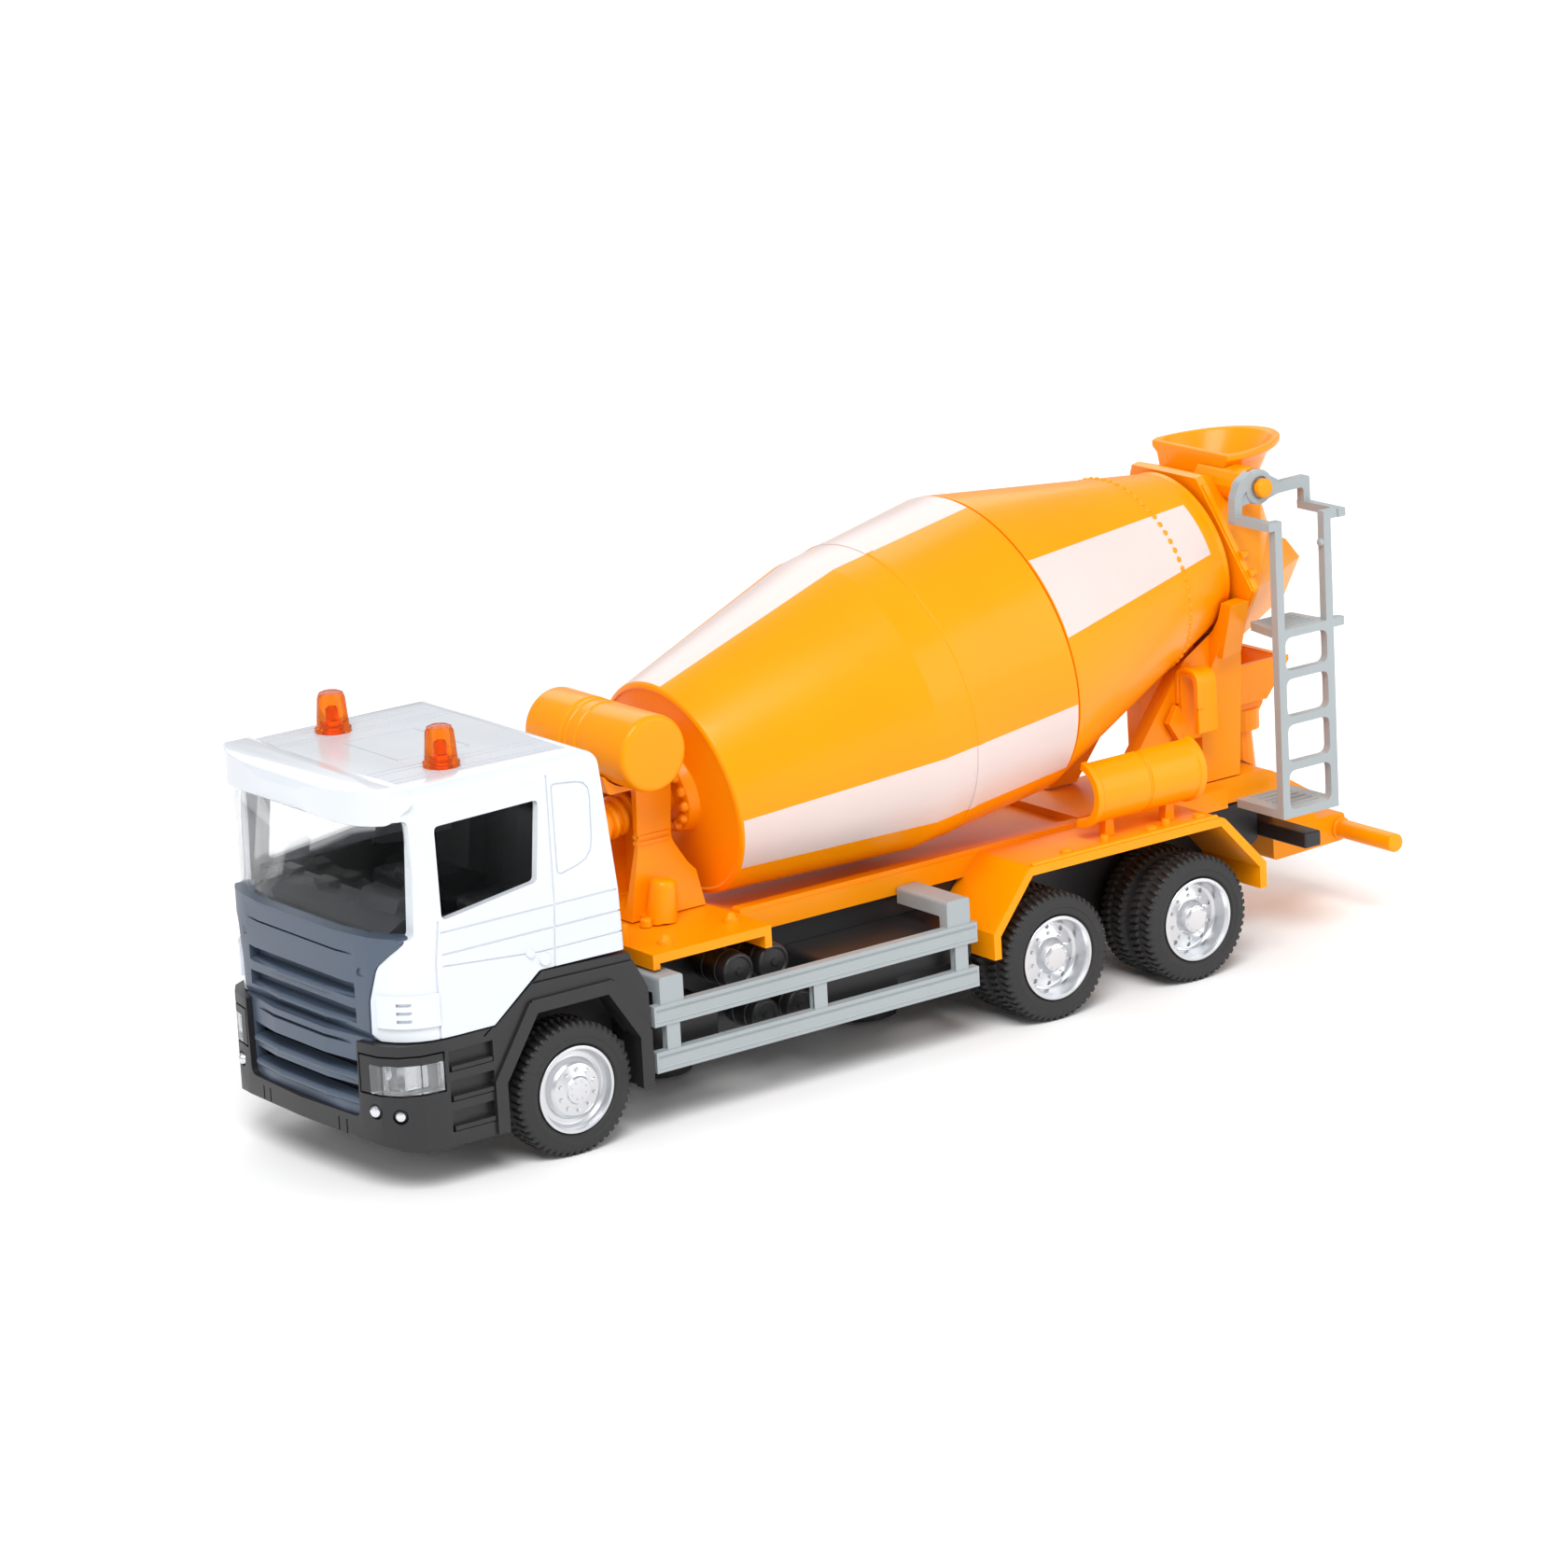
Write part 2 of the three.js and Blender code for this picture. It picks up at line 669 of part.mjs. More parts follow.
/** Grille: an outer skin with slots between the bars. */
function grillePanel() {
  const nose = NOSE_X - 0.5;
  const plan = pushed(
    outline([
      [CAB_FACE_X, -18],
      [nose - 1.2, -18],
      [nose, -8],
      [nose, 8],
      [nose - 1.2, 18],
      [CAB_FACE_X, 18],
    ]),
    "z",
    5,
    GRILLE_TOP_Z + 5,
  );
  const front = pushed(grilleFront(0), "x", CAB_FACE_X, NOSE_X + 1);
  const slotDepth = 1.3;
  const slots = [10.6, 13.4, 16.1, 19.2, 22].map((z) =>
    box([nose - slotDepth, 1.4 - GRILLE_LOW_HALF_WIDTH, z], [nose + 1, GRILLE_LOW_HALF_WIDTH - 1.4, z + 1.3]),
  );
  return cut(front.intersect(plan), ...slots);
}

const LAMP_LOW_Z = 12.6;
const LAMP_HIGH_Z = 17.2;
const BUMPER_LOW_Z = 5.4;
const STEP_BACK_X = 10.6;

const lampZone = (grow) => {
  const inY = 12.6 - grow;
  return (side) =>
    sideBox(side, [18.6 - grow, inY, LAMP_LOW_Z - grow], [NOSE_X + 1, HALF_WIDTH + 1, LAMP_HIGH_Z + grow]);
};

/** Plan of the bumper, a little wider than the cab, thickened by grow. */
function bumperPlan(inset) {
  const half = HALF_WIDTH - 0.1 - inset;
  const nose = NOSE_X - inset;
  return outline([
    [-40, -half],
    [nose - 1.2, -half, 7],
    [nose, 0],
    [nose - 1.2, half, 7],
    [-40, half],
  ]);
}

/** Black lower cab: bumper, steps and the arches over the front wheels. */
function cabBase() {
  const side = pushed(
    outline([
      [STEP_BACK_X + 1.4, BUMPER_LOW_Z],
      [NOSE_X - 4, BUMPER_LOW_Z, 1],
      [NOSE_X + 2, BUMPER_LOW_Z + 2],
      [NOSE_X + 2, CAB_SILL_Z - GAP],
      [ARCH_SPREAD - 4.2 - GAP, CAB_SILL_Z - GAP],
      [4.1 - GAP, 24.2 - GAP],
      [CAB_BACK_X, 23.8 - GAP],
      [-11.2, 18.6],
      [-11.2, 6.4],
      [-9.6, 6.4],
      [-9.6, 9],
    ]),
    "y",
    -HALF_WIDTH - 1,
    HALF_WIDTH + 1,
  );
  const wall = 1.8;
  const body = side.intersect(pushed(bumperPlan(0), "z", 0, 40));
  const hollow = pushed(
    outline([
      [-40, FRAME_HALF_WIDTH + 12 - 4],
      [NOSE_X - wall - 1.5, FRAME_HALF_WIDTH + 8],
      [NOSE_X - wall - 1.5, -FRAME_HALF_WIDTH - 8],
      [-40, -FRAME_HALF_WIDTH - 12 + 4],
    ]),
    "z",
    0,
    22.4,
  );
  const arch = pushed(
    outline([
      [WHEEL_ARCH_R + 0.6, 0],
      [WHEEL_ARCH_R + 0.6, 11.5],
      [5.2, 19],
      [-5.4, 19],
      [-WHEEL_ARCH_R, 12.6],
      [-WHEEL_ARCH_R, 0],
    ]),
    "y",
    -HALF_WIDTH - 1,
    HALF_WIDTH + 1,
  );
  const lamps = [1, -1].map(lampZone(GAP));
  const grille = pushed(grilleFront(GAP), "x", CAB_FACE_X - GAP, NOSE_X + 1);
  const frameTop = box([-40, -FRAME_HALF_WIDTH - GAP, 0], [FRAME_FRONT_X + GAP, FRAME_HALF_WIDTH + GAP, 22]);
  return cut(body, hollow, arch, ...lamps, grille, frameTop);
}

/** Clear headlamp lens, wrapped round the bumper's corner. */
function headlamp(side) {
  const shell = pushed(bumperPlan(0), "z", 0, 40);
  const core = pushed(bumperPlan(1.5), "z", 0, 40);
  return cut(lampZone(0)(side).intersect(shell), core);
}

piece("cab_shell", cabShell(), WHITE_GLOSS);
piece("window_insert", windowInsert(), SMOKED_CLEAR);
piece("cab_interior", cabInterior(), DARK_TRIM);
piece("grille_panel", grillePanel(), SLATE_PLASTIC);
piece("cab_base", cabBase(), BLACK_PLASTIC);
for (const [sideName, side] of SIDES) {
  piece(`headlamp_lens_${sideName}`, headlamp(side), CLEAR_LENS);
}
for (const [sideName, y] of BEACON_PLACES) {
  piece(`beacon_${sideName}`, beacon(y), AMBER_LENS);
}

// ---------------------------------------------------------------- superstructure: deck, fenders, tail

const DRUM_AXIS = new THREE.Vector3(-Math.cos(DRUM_TILT), 0, Math.sin(DRUM_TILT));
const onDrumAxis = (distance) => DRUM_FRONT.clone().addScaledVector(DRUM_AXIS, distance);
const DRUM_SIDES = 32;

/** The drum's outside, grown by a clearance; also used to cut room for it. */
function drumForm(grow) {
  const profile = [
    [0, -grow],
    [DRUM_FRONT_R + grow, -grow],
    [DRUM_SHOULDER_R + grow, DRUM_SHOULDER_AT],
    [DRUM_BELLY_R + grow, DRUM_BELLY_AT],
    [DRUM_NECK_R + grow, DRUM_NECK_AT],
    [DRUM_NECK_R + grow, DRUM_BACK_AT + grow],
    [0, DRUM_BACK_AT + grow],
  ];
  return turned(profile, DRUM_FRONT, DRUM_AXIS, DRUM_SIDES);
}

const DRUM_ROOM = 0.6;
const FENDER_SKIN = 1.1;
const DECK_BACK_X = -128.2;
const FRONT_PLATE_BACK_X = -31.4;
const FRONT_PLATE_FRONT_X = -13.6;
const FRONT_PLATE_HALF_WIDTH = 17.6;

/** Mudguard over the two back axles: an outline of even thickness with sloping ends. */
function fender(side) {
  const low = 10.2;
  const knee = 13.6;
  const top = 21;
  const skin = FENDER_SKIN;
  return sidePlate(
    side,
    [
      [-64.1, low],
      [-64.1, knee],
      [-70.2, top, 0.6],
      [-102.3, top, 0.6],
      [-109.2, knee],
      [-109.2, low],
      [-109.2 + skin, low],
      [-109.2 + skin, knee - 0.5],
      [-102.3 + 0.5, top - skin],
      [-70.2 - 0.5, top - skin],
      [-64.1 - skin, knee - 0.5],
      [-64.1 - skin, low],
    ],
    RAIL_OUT_Y - 1,
    HALF_WIDTH,
  );
}

const BOLT_PLACES = [
  [-17.6, 14.6],
  [-28.8, 12.8],
];

/** Rails under the drum, a wide plate behind the cab, a cross deck at the back and both mudguards. */
function subframeDeck() {
  const railThickness = 2.2;
  const railTop = 20.9;
  const rails = [1, -1].map((side) =>
    sideBox(side, [-112, RAIL_OUT_Y - railThickness, RAIL_LOW_Z], [FRONT_PLATE_FRONT_X - 1, RAIL_OUT_Y, railTop]),
  );
  const floor = box([-112, -RAIL_OUT_Y, 19.4], [FRONT_PLATE_FRONT_X - 1, RAIL_OUT_Y, 20.6]);
  const backDeck = pushed(
    outline([
      [-88, RAIL_LOW_Z],
      [-88, DECK_TOP_Z],
      [-120.4, DECK_TOP_Z, 1.5],
      [DECK_BACK_X, 16.8],
      [DECK_BACK_X, 15.6],
      [-121.6, RAIL_LOW_Z],
    ]),
    "y",
    -7.6,
    7.6,
  );
  const plateLow = 20.4;
  const half = FRONT_PLATE_HALF_WIDTH;
  const plate = box([FRONT_PLATE_BACK_X, -half, plateLow], [FRONT_PLATE_FRONT_X, half, DECK_TOP_Z]);
  const lip = box([FRONT_PLATE_BACK_X, -half, plateLow - 1.6], [FRONT_PLATE_BACK_X + 1, half, plateLow + 0.3]);
  const noseLip = box([FRONT_PLATE_FRONT_X - 1, -half, plateLow - 0.7], [FRONT_PLATE_FRONT_X, half, plateLow + 0.3]);
  const bolts = [1, -1].flatMap((side) =>
    BOLT_PLACES.map(([x, y]) => {
      const foot = bar([x, side * y, plateLow + 0.4], [x, side * y, DECK_TOP_Z + 0.5], 1.2, 1, 12);
      return join(foot, bar([x, side * y, DECK_TOP_Z + 0.3], [x, side * y, DECK_TOP_Z + 1.2], 0.9, 0.4, 12));
    }),
  );
  const whole = join(...rails, floor, backDeck, plate, lip, noseLip, fender(1), fender(-1), ...bolts);
  return cut(whole, drumForm(DRUM_ROOM));
}

const TAIL_BAR_R = 1.25;
const TAIL_BAR_REACH = 18.4;

/** Block under the back deck with a round bar across it. */
function tailBeam() {
  const low = 8.7;
  const top = 12.9;
  const barX = TAIL_X + TAIL_BAR_R;
  const halfWidth = 7.3;
  const block = pushed(
    outline([
      [barX - 0.9, low + 0.4],
      [barX - 0.9, top, 0.5],
      [-129, top, 0.5],
      [-127.4, 15.4],
      [-122, 17.6],
      [-121.2, 17.6],
      [-121.2, low, 0.6],
    ]),
    "y",
    -halfWidth,
    halfWidth,
  );
  const barZ = (low + top) / 2;
  return join(block, bar([barX, -TAIL_BAR_REACH, barZ], [barX, TAIL_BAR_REACH, barZ], TAIL_BAR_R));
}

piece("subframe_deck", subframeDeck(), YELLOW_PLASTIC);
piece("tail_beam", tailBeam(), YELLOW_PLASTIC);
piece("underrun_bar", box([-120.8, -17.4, 12.9], [-118, 17.4, 15]), BLACK_PLASTIC);

// ---------------------------------------------------------------- front pedestal, water tank, gearbox

const WATER_TANK_X = -20.5;
const WATER_TANK_Z = 44.1;
const WATER_TANK_R = 4.85;
const WATER_TANK_HALF = 10.6;

function waterTank() {
  const step = 0.25;
  const bandHalf = 1.6;
  const end = 0.5;
  const profile = [
    [0, -WATER_TANK_HALF],
    [WATER_TANK_R - end, -WATER_TANK_HALF],
    [WATER_TANK_R, end - WATER_TANK_HALF],
    [WATER_TANK_R, -bandHalf],
    [WATER_TANK_R - step, -bandHalf],
    [WATER_TANK_R - step, bandHalf],
    [WATER_TANK_R, bandHalf],
    [WATER_TANK_R, WATER_TANK_HALF - end],
    [WATER_TANK_R - end, WATER_TANK_HALF],
    [0, WATER_TANK_HALF],
  ];
  return turned(profile, new THREE.Vector3(WATER_TANK_X, 0, WATER_TANK_Z), AXES.y, 24);
}

const FLANGE_R = 4;
const FLANGE_H = 1.2;

/** Waisted column, open in front, that carries the water tank on top and the drum's front trunnion. */
function frontPedestal() {
  const foot = DECK_TOP_Z + GAP;
  const half = 4.4;
  const side = pushed(
    outline([
      [-19.6, foot],
      [-21.8, 31.2],
      [-21.4, 32],
      [-21.8, 40.6],
      [-27.2, 40.6],
      [-26.6, 32],
      [-27, 31.2],
      [-31.2, 25.2, 1],
      [-31, foot, 1],
    ]),
    "y",
    -half,
    half,
  );
  const saddle = box([WATER_TANK_X - 4.2, -5.2, 38.6], [WATER_TANK_X + 3.4, 5.2, 40.6]);
  const tankRoom = bar(
    [WATER_TANK_X, -WATER_TANK_HALF - 1, WATER_TANK_Z],
    [WATER_TANK_X, WATER_TANK_HALF + 1, WATER_TANK_Z],
    WATER_TANK_R + GAP,
    WATER_TANK_R + GAP,
    24,
  );
  const pegs = [1, -1].map((side) =>
    bar([-22.6, side * 6.6, foot], [-22.6, side * 6.6, foot + 3.6], 1.5, 1.2, 12),
  );
  const pegFoot = box([-24, -8, foot], [-21, 8, foot + 0.9]);
  const holeFrom = onDrumAxis(-20);
  const hole = bar(holeFrom.toArray(), DRUM_FRONT.toArray(), TRUNNION_R + 0.3, TRUNNION_R + 0.3, 24);
  const reach = -FLANGE_H - 0.5;
  const flangeRoom = bar(onDrumAxis(reach).toArray(), onDrumAxis(20).toArray(), 30, 30, 12);
  const channelHalf = half - 1;
  const channel = box([-24.9, -channelHalf, foot + 1], [-10, channelHalf, 38]);
  return cut(join(cut(side, channel), saddle, ...pegs, pegFoot), tankRoom, flangeRoom, hole);
}

/** Ribbed motor housing in the pedestal's front channel, in line with the drum. */
function driveMotor() {
  const housingR = 2.2;
  const ribR = 2.6;
  const back = -6;
  const pitch = 1.4;
  const ribs = [1, 2, 3, 4].map((i) => {
    const at = back - i * pitch;
    return bar(onDrumAxis(at).toArray(), onDrumAxis(at + pitch / 2).toArray(), ribR, ribR, 16);
  });
  const front = back - ribs.length * pitch - 1;
  const housing = bar(onDrumAxis(front).toArray(), onDrumAxis(back).toArray(), housingR, housingR, 16);
  return join(housing, ...ribs);
}

piece("water_tank", waterTank(), YELLOW_PLASTIC);
piece("front_pedestal", frontPedestal(), YELLOW_PLASTIC);
piece("drive_motor", driveMotor(), YELLOW_PLASTIC);

// ---------------------------------------------------------------- drum

/** Front half: flat face, front cone and belly band, open at the seam behind the band. */
function drumFrontShell() {
  const wall = DRUM_WALL;
  const profile = [
    [0, 0],
    [DRUM_FRONT_R, 0],
    [DRUM_SHOULDER_R, DRUM_SHOULDER_AT],
    [DRUM_BELLY_R, DRUM_BELLY_AT],
    [DRUM_BELLY_R - wall, DRUM_BELLY_AT],
    [DRUM_SHOULDER_R - wall, DRUM_SHOULDER_AT],
    [DRUM_FRONT_R - wall, wall],
    [0, wall],
  ];
  const shell = turned(profile, DRUM_FRONT, DRUM_AXIS, DRUM_SIDES);
  const trunnion = bar(onDrumAxis(-5.4).toArray(), onDrumAxis(0.5).toArray(), TRUNNION_R, TRUNNION_R, 24);
  const flange = bar(onDrumAxis(-FLANGE_H).toArray(), onDrumAxis(0.5).toArray(), FLANGE_R, FLANGE_R, 24);
  return join(shell, trunnion, flange);
}

/** Back half: rear cone down to the neck, with a trunnion on its closed back. */
function drumRearShell() {
  const wall = DRUM_WALL;
  const start = DRUM_BELLY_AT + FIT_GAP;
  const shell = turned(
    [
      [DRUM_BELLY_R - wall, start],
      [DRUM_BELLY_R - 0.2, start],
      [DRUM_NECK_R, DRUM_NECK_AT],
      [DRUM_NECK_R, DRUM_BACK_AT],
      [0, DRUM_BACK_AT],
      [0, DRUM_BACK_AT - wall],
      [DRUM_NECK_R - wall, DRUM_BACK_AT - wall],
      [DRUM_NECK_R - wall, DRUM_NECK_AT],
      [DRUM_BELLY_R - wall, start],
    ],
    DRUM_FRONT,
    DRUM_AXIS,
    DRUM_SIDES,
  );
  const trunnion = bar(
    onDrumAxis(DRUM_BACK_AT - 0.5).toArray(),
    onDrumAxis(DRUM_BACK_AT + 3.6).toArray(),
    TRUNNION_R,
    TRUNNION_R,
    24,
  );
  return join(shell, trunnion);
}

piece("drum_front_shell", drumFrontShell(), YELLOW_PLASTIC);
piece("drum_rear_shell", drumRearShell(), YELLOW_PLASTIC);

// ---------------------------------------------------------------- rear support, hood, hopper

const CRADLE_START = 80.8;
const CRADLE_END = 84.1;

/** A slab square to the drum's axis: corners are [sideways, upwards] from the axis, ends are along it. */
function acrossDrum(corners, from, to) {
  const slab = pushed(outline(corners), "x", -to, -from);
  return slab.rotate([0, THREE.MathUtils.radToDeg(DRUM_TILT), 0]).translate(DRUM_FRONT.toArray());
}

/** Two legs with forward struts, joined by a cross web and a cradle under the drum's neck. */
function rearSupport() {
  const foot = DECK_TOP_Z + GAP;
  const legIn = 5.2;
  const legOut = 7.6;
  const legs = [1, -1].map((side) => {
    const column = sidePlate(
      side,
      [
        [-109.4, foot],
        [-109.2, 36],
        [-108.6, 41],
        [-116.6, 46],
        [-116.4, 36],
        [-115.6, foot],
      ],
      legIn,
      legOut,
    );
    const strut = sidePlate(
      side,
      [
        [-93.6, foot],
        [-98.4, foot],
        [-110, 36],
        [-110, 43],
      ],
      legIn,
      legOut,
    );
    return join(column, strut);
  });
  const web = box([-115.2, -legOut, 36], [-111, legOut, 46]);
  const cradle = acrossDrum(
    [
      [-13.7, -3.7],
      [-9.5, -12.6],
      [9.5, -12.6],
      [13.7, -3.7],
      [12.9, -1.6],
      [-12.9, -1.6],
    ],
    CRADLE_START,
    CRADLE_END,
  );
  const shoulders = [1, -1].map((side) =>
    pushed(
      outline([
        [side * 5.4, 36.4],
        [side * 7.6, 36.4],
        [side * 12.9, 46.2],
        [side * 12, 50],
        [side * 5.4, 44],
      ]),
      "x",
      -115.4,
      -111,
    ),
  );
  const whole = join(...legs, web, cradle, ...shoulders);
  const hoodRoom = acrossDrum(
    [
      [-30, -12.6],
      [30, -12.6],
      [30, 30],
      [-30, 30],
    ],
    CRADLE_END,
    CRADLE_END + 40,
  );
  return cut(whole, drumForm(DRUM_ROOM), hoodRoom);
}

const HOPPER_RIM_Z = 64.8;
const HOPPER_FLOOR_Z = 59.6;
const HOPPER_FRONT_X = -115.3;

/** D-shaped outline of the hopper at some height: straight in front, round behind. */
function hopperOutline(shrink, half, depth) {
  const h = half - shrink;
  const front = HOPPER_FRONT_X - shrink;
  const back = HOPPER_FRONT_X - depth + shrink;
  return outline([
    [front, -h, 0.8],
    [front, h, 0.8],
    [back + h, h],
    [back + h * 0.3, h * 0.72],
    [back, h * 0.25],
    [back, -h * 0.25],
    [back + h * 0.3, -h * 0.72],
    [back + h, -h],
  ]);
}

/** Funnel between the wide rim and a narrower foot. */
function hopperForm(shrink, low, top) {
  const rim = pushed(hopperOutline(shrink, 8.2, 14.4), "z", top - 0.4, top);
  const foot = pushed(hopperOutline(shrink, 5, 9), "z", low, low + 0.4);
  return wrapped(rim, foot);
}

function chargingHopper() {
  const wall = 1;
  return cut(
    hopperForm(0, HOPPER_FLOOR_Z, HOPPER_RIM_Z),
    hopperForm(wall, HOPPER_FLOOR_Z + 0.9, HOPPER_RIM_Z + 0.1),
  );
}

const LADDER_PIN_X = -116.5;
const LADDER_PIN_Z = 60.8;
const LADDER_HUB_Y = [11.1, 12.4];
const PIN_R = 0.8;

const acrossAt = (x, z, from, to, radius, sides = 16) => bar([x, from, z], [x, to, z], radius, radius, sides);

/** Cover behind the drum's neck: a sloping back, a beaked spout below it and a boss for the ladder's pin. */
function dischargeHood() {
  const start = CRADLE_END + GAP;
  const edge = acrossDrum(
    [
      [-13.7, -3.7],
      [-8, -11.6],
      [8, -11.6],
      [13.7, -3.7],
      [6.4, 10.9],
      [-6.4, 10.9],
    ],
    start,
    start + 1.2,
  );
  const lowerEdge = acrossDrum(
    [
      [-13.7, -3.7],
      [-8, -11.6],
      [8, -11.6],
      [13.7, -3.7],
    ],
    start,
    start + 1.2,
  );
  const backHalf = 4.4;
  const back = pushed(
    outline([
      [-118, 60.6],
      [-123.4, 56.8],
      [-124.6, 53.2],
      [-122, 47],
    ]),
    "y",
    -backHalf,
    backHalf,
  );
  const spout = pushed(
    outline([
      [-124, 52.6],
      [-127.5, 50.8],
      [-129.8, 48],
      [-126.8, 43.2],
      [-121.7, 42.7],
    ]),
    "y",
    -backHalf,
    backHalf,
  );
  const body = join(wrapped(edge, back), wrapped(lowerEdge, spout));
  const boss = acrossAt(LADDER_PIN_X, LADDER_PIN_Z, 2, LADDER_HUB_Y[0] - GAP, 2.4);
  const channel = box([-140, -3.2, 38], [-121.5, 3.2, 46.4]);
  const trunnionHole = bar(
    onDrumAxis(60).toArray(),
    onDrumAxis(DRUM_BACK_AT + 4).toArray(),
    TRUNNION_R + 0.3,
    TRUNNION_R + 0.3,
    24,
  );
  const pinHole = acrossAt(LADDER_PIN_X, LADDER_PIN_Z, 8.2, 20, PIN_R + FIT_GAP);
  const ladderRoom = box([-126, LADDER_HUB_Y[0] - GAP, 54], [-110, 20, 66]);
  const hopperRoom = hopperForm(-GAP, HOPPER_FLOOR_Z - GAP, HOPPER_RIM_Z + GAP);
  return cut(join(body, boss), hopperRoom, channel, trunnionHole, pinHole, ladderRoom);
}

function ladderPin() {
  const shank = acrossAt(LADDER_PIN_X, LADDER_PIN_Z, 8.4, LADDER_HUB_Y[1] + 0.4, PIN_R);
  const head = bar(
    [LADDER_PIN_X, LADDER_HUB_Y[1] + GAP, LADDER_PIN_Z],
    [LADDER_PIN_X, LADDER_HUB_Y[1] + 1.1, LADDER_PIN_Z],
    1.25,
    0.9,
    16,
  );
  return join(shank, head);
}

/** Strap bent into an upside-down U that holds the chute when it is stowed. */
function hookBracket() {
  const low = 30.4;
  const near = 7.6 + GAP;
  const far = 12;
  const skin = 0.9;
  return pushed(
    outline([
      [near, low],
      [near, 38.2, 1.6],
      [far, 38.2, 1.6],
      [far, low],
      [far - skin, low],
      [far - skin, 38.2 - skin, 1],
      [near + skin, 38.2 - skin, 1],
      [near + skin, low - 2],
    ]),
    "x",
    -108.4,
    -105.2,
  );
}

/** Spare length of chute carried on the left mudguard: half a tube on two feet. */
function chuteExtension() {
  const radius = 4.2;
  const skin = 0.8;
  const centre = [14.2, 27.2];
  const from = [-100.6, centre[0], centre[1]];
  const to = [-82.6, centre[0], centre[1]];
  const tube = cut(
    bar(from, to, radius, radius, 24),
    bar([from[0] - 1, from[1], from[2]], [to[0] + 1, to[1], to[2]], radius - skin, radius - skin, 24),
    box([-110, 0, 10], [-70, centre[0] - 0.4, 40]),
  );
  const feet = [-96.5, -86.5].map((x) => box([x - 0.7, centre[0] + 0.4, 21.2], [x + 0.7, centre[0] + 1.8, 23.6]));
  return join(tube, ...feet);
}

piece("rear_support", rearSupport(), YELLOW_PLASTIC);
piece("charging_hopper", chargingHopper(), YELLOW_PLASTIC);
piece("discharge_hood", dischargeHood(), YELLOW_PLASTIC);
piece("ladder_pin", ladderPin(), YELLOW_PLASTIC);
piece("hook_bracket", hookBracket(), YELLOW_PLASTIC);
piece("chute_extension", chuteExtension(), YELLOW_PLASTIC);

// ---------------------------------------------------------------- discharge chute

const CHUTE_PIVOT_X = -121.8;
const CHUTE_PIVOT_R = 1.2;
const POST_TOP_Z = 25.4;

/** Tapered post on the back deck with a pivot pin on top. */
function chutePost() {
  const cone = bar([CHUTE_PIVOT_X, 0, 17], [CHUTE_PIVOT_X, 0, POST_TOP_Z], 2.6, 1.9, 16);
  const pin = bar([CHUTE_PIVOT_X, 0, POST_TOP_Z - 1], [CHUTE_PIVOT_X, 0, POST_TOP_Z + 2.2], CHUTE_PIVOT_R);
  const deckRoom = pushed(
    outline([
      [-100, 10],
      [-100, DECK_TOP_Z + GAP],
      [-120.4, DECK_TOP_Z + GAP],
      [DECK_BACK_X - 0.2, 16.8 + GAP],
      [DECK_BACK_X - 6, 10],
    ]),
    "y",
    -20,
    20,
  );
  return cut(join(cone, pin), deckRoom);
}

/** Trough that swings on the post, with a catch funnel over the pivot. */
function dischargeChute() {
  const hubLow = POST_TOP_Z + GAP;
  const hub = bar([CHUTE_PIVOT_X, 0, hubLow], [CHUTE_PIVOT_X, 0, hubLow + 2.8], 3);
  const start = [CHUTE_PIVOT_X, 1.6, 30.6];
  const end = [CHUTE_PIVOT_X, -17, 26];
  const trough = cut(
    bar(start, end, 3.4, 2.7, 20),
    bar([start[0], start[1] - 1, start[2] + 0.4], [end[0], end[1] - 4, end[2] + 0.1], 2.6, 1.9, 20),
    box([-140, -30, 30.9], [-100, 2.2, 50]),
    pushed(
      outline([
        [-30, 23],
        [-30, 40],
        [3, 40],
        [3, 31],
        [-17, 26.2],
      ]),
      "x",
      -140,
      -100,
    ),
  );
  const catcherOut = wrapped(
    box([-124.8, -2.8, 29.4], [-118.8, 2.8, 30.4]),
    box([-127.2, -4.6, 34.6], [-118.4, 4.6, 35.2]),
  );
  const catcherIn = wrapped(
    box([-123.9, -2, 30.6], [-119.6, 2, 31]),
    box([-126.3, -3.8, 35], [-119.2, 3.8, 36]),
  );
  const pinRoom = bar([CHUTE_PIVOT_X, 0, 20], [CHUTE_PIVOT_X, 0, POST_TOP_Z + 2.4], CHUTE_PIVOT_R + 0.15);
  return cut(join(hub, trough, catcherOut), catcherIn, pinRoom);
}

piece("chute_post", chutePost(), YELLOW_PLASTIC);
piece("discharge_chute", dischargeChute(), YELLOW_PLASTIC);

// ---------------------------------------------------------------- ladder

const LADDER_OUT_Y = 19;
const LADDER_IN_Y = 17.8;
const LADDER_RAILS = [
  [-114.3, -113.1],
  [-122.6, -121.4],
];
const LADDER_LOW_Z = 18.2;
const RUNG_LOW_ZS = [24.5, 30.6, 36.7];
const RUNG_H = 1.1;

